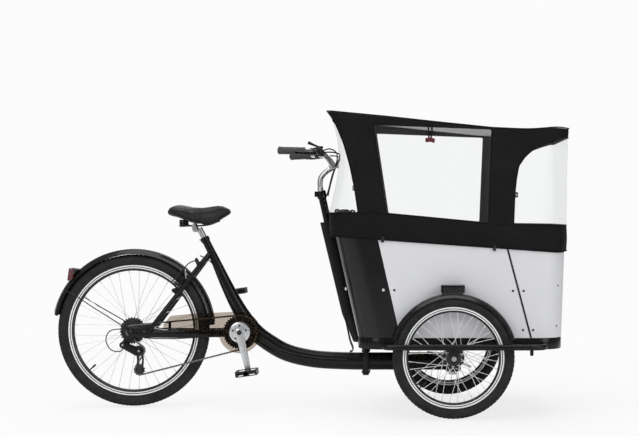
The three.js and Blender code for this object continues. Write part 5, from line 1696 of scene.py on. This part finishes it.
def make_hood():
    rows, lengths = hood_half()
    columns = len(rows[0])
    first_clear, last_clear = SKIRT_ROWS, SKIRT_ROWS + WALL_ROWS
    clear_spans = [(hood_column(name), hood_column(name, 1)) for name in ("clear_rear", "window", "clear_front")]
    sheets = {"fabric": Form(), "vinyl": Form()}
    uvs = {"fabric": [], "vinyl": []}
    flat = [p for row in rows for p in row]
    flat_uv = [(s * MM, r * 0.025) for r, row in enumerate(lengths) for s in row]
    eaves = len(hood_rows()) - 1
    for sense in (1, -1):
        faces = {"wall": [], "roof": [], "vinyl": []}
        for r in range(len(rows) - 1):
            for c in range(columns - 1):
                clear = first_clear <= r < last_clear and any(a <= c < b for a, b in clear_spans)
                a = r * columns + c
                quad = (a, a + columns, a + columns + 1, a + 1)
                part = "vinyl" if clear else "roof" if r >= eaves else "wall"
                faces[part].append(quad if sense > 0 else quad[::-1])
        for part, kind, tone in (("wall", "fabric", 0), ("roof", "fabric", 2), ("vinyl", "vinyl", 0)):
            sheets[kind].add(([Vector((p.x, p.y * sense, p.z)) for p in flat], faces[part]), tone)
            uvs[kind] += flat_uv
    # The inner skin takes the next material: fabric inside the walls, a pale lining under the roof.
    cover = shown("hood_cover", sheets["fabric"], [FABRIC, BINDING, FABRIC, LINING], "hood", "hood",
                  sharp=180, uvs=uvs["fabric"])
    clear = shown("hood_clear_sheets", sheets["vinyl"], VINYL, "hood", (), sharp=180,
                  uvs=uvs["vinyl"])
    for obj, thick in ((cover, 1.6), (clear, 0.6)):
        smooth = obj.modifiers.new("smooth", "SUBSURF")
        smooth.levels = smooth.render_levels = 1
        shell = obj.modifiers.new("thickness", "SOLIDIFY")
        shell.thickness = thick * MM
        shell.offset = -1
    cover.modifiers["thickness"].material_offset = 1
    make_hood_seams(rows, columns, first_clear, last_clear)


def make_hood_seams(rows, columns, low_row, top_row):
    """Welts, hem and stitches along the borders of the fabric."""
    def column_line(c, a, b):
        return [rows[r][c] for r in range(a, b + 1)]

    def row_line(r, a, b):
        return [rows[r][c] for c in range(a, b + 1)]

    hem, eaves = row_line(0, 0, columns - 1), row_line(len(hood_rows()) - 1, 0, columns - 1)
    welts = [(hem, 2.6), (row_line(low_row, 0, columns - 1), 2.0), (eaves, 2.4)]
    borders = [hood_column("rear_pillar"), hood_column("window"), hood_column("window", 1),
               hood_column("clear_front")]
    for c in borders:
        welts.append((column_line(c, low_row, top_row), 1.6))
    for name in ("clear_rear", "window", "clear_front"):
        welts.append((row_line(top_row, hood_column(name), hood_column(name, 1)), 1.6))
    form, stitches = Form(), Form()
    for line, radius in welts:
        path = catmull(line, max(24, int(sum((b - a).length for a, b in zip(line, line[1:])) / 14)))
        form.add(sweep(path, circle(radius, 8)))
    for c in borders:
        toward = 1 if c in (borders[0], borders[2]) else -1
        for offset in (7, 13):
            line = []
            for r in range(low_row, top_row + 1):
                a, b = rows[r][c], rows[r][c + toward]
                line.append(a + (b - a).normalized() * offset)
            line = catmull(line, 120)
            for k in range(1, 118, 2):
                out = Vector((0, 1.3, 0))
                stitches.add(sweep([line[k] + out, line[k + 1] + out], circle(0.4, 5)))
    for source, name, material in ((form, "hood_welts", BINDING), (stitches, "hood_stitching", CABLE)):
        both = joined(source, source.flipped())
        shown(name, both, material, "hood", (), merge=False)


TOGGLE_Y = 313


def make_hood_straps():
    straps = Form()
    for side in SIDES.values():
        # Straps for rolling the rear sheet up lie folded at its foot.
        roll = [(895, side * 262, 841), (912, side * 286, 844), (936, side * 303, 841), (962, side * 312, 838)]
        straps.add(tube(roll, 5.5, 20, 10, scale=lambda t: 0.8 + 0.3 * math.sin(9 * t)))
        for x, y, tall in ((901, 270, 13), (918, 290, 9), (941, 304, 11)):
            loop = [(x - 9, side * y, 838), (x - 7, side * (y - 2), 839 + tall), (x + 7, side * (y + 2), 838 + tall),
                    (x + 13, side * (y + 3), 838)]
            straps.add(sweep(catmull(loop, 20), [(-1.6, -7), (1.6, -7), (1.6, 7), (-1.6, 7)]))
    # Two thin straps hold the toggle of the right window's roll.
    for x in (1277, 1291):
        points = [(x, -TOGGLE_Y - 1, 1206), (x + 1, -TOGGLE_Y - 4, 1180),
                  (1284 + (x - 1284) * 0.6, -TOGGLE_Y - 5, 1150)]
        straps.add(sweep(catmull(points, 16), [(-2.4, -3.5), (2.4, -3.5), (2.4, 3.5), (-2.4, 3.5)]))
    shown("hood_straps", straps, WEBBING, "hood", (), merge=False)


def make_hood_toggle():
    body = rounded_outline([(1266, 1131), (1286, 1134), (1303, 1128), (1305, 1147), (1284, 1152), (1264, 1149)], 5)
    toggle = joined(plate([body], -TOGGLE_Y - 10, -TOGGLE_Y - 2, 2.5))
    shown("hood_toggles", toggle, RED_PLASTIC, "hood", ())


def make_hood_tabs():
    """Screwed tabs on the pillars, and the hooks that hold the skirt down."""
    tabs = Form()
    for side in SIDES.values():
        for x, y, z in ((971, 322, 943), (1640, 325, 915)):
            tab = rounded_outline([(x - 6.5, z - 11), (x + 6.5, z - 11), (x + 6.5, z + 11), (x - 6.5, z + 11)], 3)
            tabs.add(side_plate([tab], side, y, y + 3.5, 1))
            tabs.add(screw(x, side * (y + 3.5), z, side, 3.5, 1.4), 1)
        for x, z in ((1089, 733), (1549, 698)):
            hook = rounded_outline([(x - 7, z - 14), (x + 7, z - 14), (x + 5, z + 10), (x - 5, z + 10)], 3)
            tabs.add(side_plate([hook], side, 329.5, 334, 1.2))
    shown("hood_tabs", tabs, [PLASTIC, STEEL], "hood", ())


# Left half of each hoop, from its foot to its top.
HOOP_LEGS = {
    "rear": [(1030, 303, 640), (1006, 303, 841), (976, 302, 1010), (945, 299, 1120), (908, 294, 1205),
             (884, 272, 1242), (880, 240, 1246)],
    "front": [(1575, 303, 600), (1598, 303, 841), (1610, 302, 1000), (1640, 299, 1080), (1700, 294, 1136),
              (1790, 282, 1166), (1830, 262, 1172), (1836, 235, 1173)],
}


def make_hood_hoop(end):
    leg = HOOP_LEGS[end]
    top_x, _, top_z = leg[-1]
    path = leg + [(top_x, 0, top_z)] + [(x, -y, z) for x, y, z in leg[::-1]]
    hoop = joined(tube(path, 6.5, 110, 16))
    shown(f"hood_hoop_{end}_tube", hoop, DARK_STEEL, "hood", f"hood_hoop_{end}")


# ------------------------------------------------------------------ carried-over CAD pieces
def dress_cad_nodes():
    finishes = {"box_floor": WOOD, "bench": WOOD, "kingpin": STEEL, "front_axle_left": STEEL,
                "front_axle_right": STEEL}
    for name, material in finishes.items():
        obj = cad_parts[name]
        for slot in obj.material_slots:
            slot.material = material


# ------------------------------------------------------------------ studio
def studio_world():
    """White where the camera looks, and a dimmer grey for light and reflections."""
    world = bpy.data.worlds.new("studio")
    world.use_nodes = True
    tree = world.node_tree
    seen = tree.nodes["Background"]
    seen.inputs[0].default_value = (0.97, 0.97, 0.97, 1)
    lighting = tree.nodes.new("ShaderNodeBackground")
    lighting.inputs[0].default_value = (0.95, 0.97, 1, 1)
    lighting.inputs[1].default_value = 0.3
    path = tree.nodes.new("ShaderNodeLightPath")
    mix = tree.nodes.new("ShaderNodeMixShader")
    tree.links.new(path.outputs["Is Camera Ray"], mix.inputs[0])
    tree.links.new(lighting.outputs[0], mix.inputs[1])
    tree.links.new(seen.outputs[0], mix.inputs[2])
    tree.links.new(mix.outputs[0], tree.nodes["World Output"].inputs["Surface"])
    return world


def make_stage():
    size = 30
    mesh = bpy.data.meshes.new("floor")
    mesh.from_pydata([(-size, -size, 0), (size, -size, 0), (size, size, 0), (-size, size, 0)], [], [(0, 1, 2, 3)])
    mesh.materials.append(floor_material())
    floor = bpy.data.objects.new("studio_floor", mesh)
    bpy.context.scene.collection.objects.link(floor)
    floor.location.z = -0.002
    bpy.context.scene.world = studio_world()
    target = Vector((0.8, 0, 0.6))
    lights = {
        "overhead": ((0.8, -0.6, 4.6), 190, 5.0), "key": ((-2.2, -5.6, 3.4), 95, 2.6),
        "fill": ((4.6, -4.2, 2.2), 70, 2.4), "back": ((0.8, 4.4, 3.6), 90, 3.4),
    }
    for name, (place, power, width) in lights.items():
        data = bpy.data.lights.new(name, "AREA")
        data.energy = power
        data.size = width
        light = bpy.data.objects.new(name, data)
        bpy.context.scene.collection.objects.link(light)
        light.location = place
        light.rotation_euler = (target - Vector(place)).to_track_quat("-Z", "Y").to_euler()
    bpy.context.scene.view_settings.view_transform = "Standard"


def make_camera():
    data = bpy.data.cameras.new("camera")
    data.lens = 76.5
    data.sensor_width = 36
    data.shift_x = -0.1338
    data.shift_y = -0.0078
    camera = bpy.data.objects.new("camera", data)
    bpy.context.scene.collection.objects.link(camera)
    camera.location = (1.181, -5.92, 0.84)
    camera.rotation_euler = (math.radians(90), 0, 0)
    bpy.context.scene.camera = camera


make_rear_wheel()
for name in SIDES:
    make_front_wheel(name)
    make_front_brake(name)
    make_front_mudguard(name)
make_rear_mudguard()
make_tail_light()
make_frame()
make_frame_bolts()
make_seat_clamp()
make_crankset()
make_pedal("right", RIGHT, 0)
make_pedal("left", LEFT, math.pi)
make_sprockets()
make_chain()
make_chain_guard()
make_derailleur()
make_rear_brake()
make_saddle()
make_saddle_rails()
make_box()
make_box_fittings()
make_chassis()
make_column()
make_stem()
make_bar()
make_controls()
for name in SIDES:
    make_grip(name)
    make_brake_lever(name)
make_gear_lever()
make_cables()
make_hood()
make_hood_straps()
make_hood_toggle()
make_hood_tabs()
for name in HOOP_LEGS:
    make_hood_hoop(name)
dress_cad_nodes()
make_stage()
make_camera()
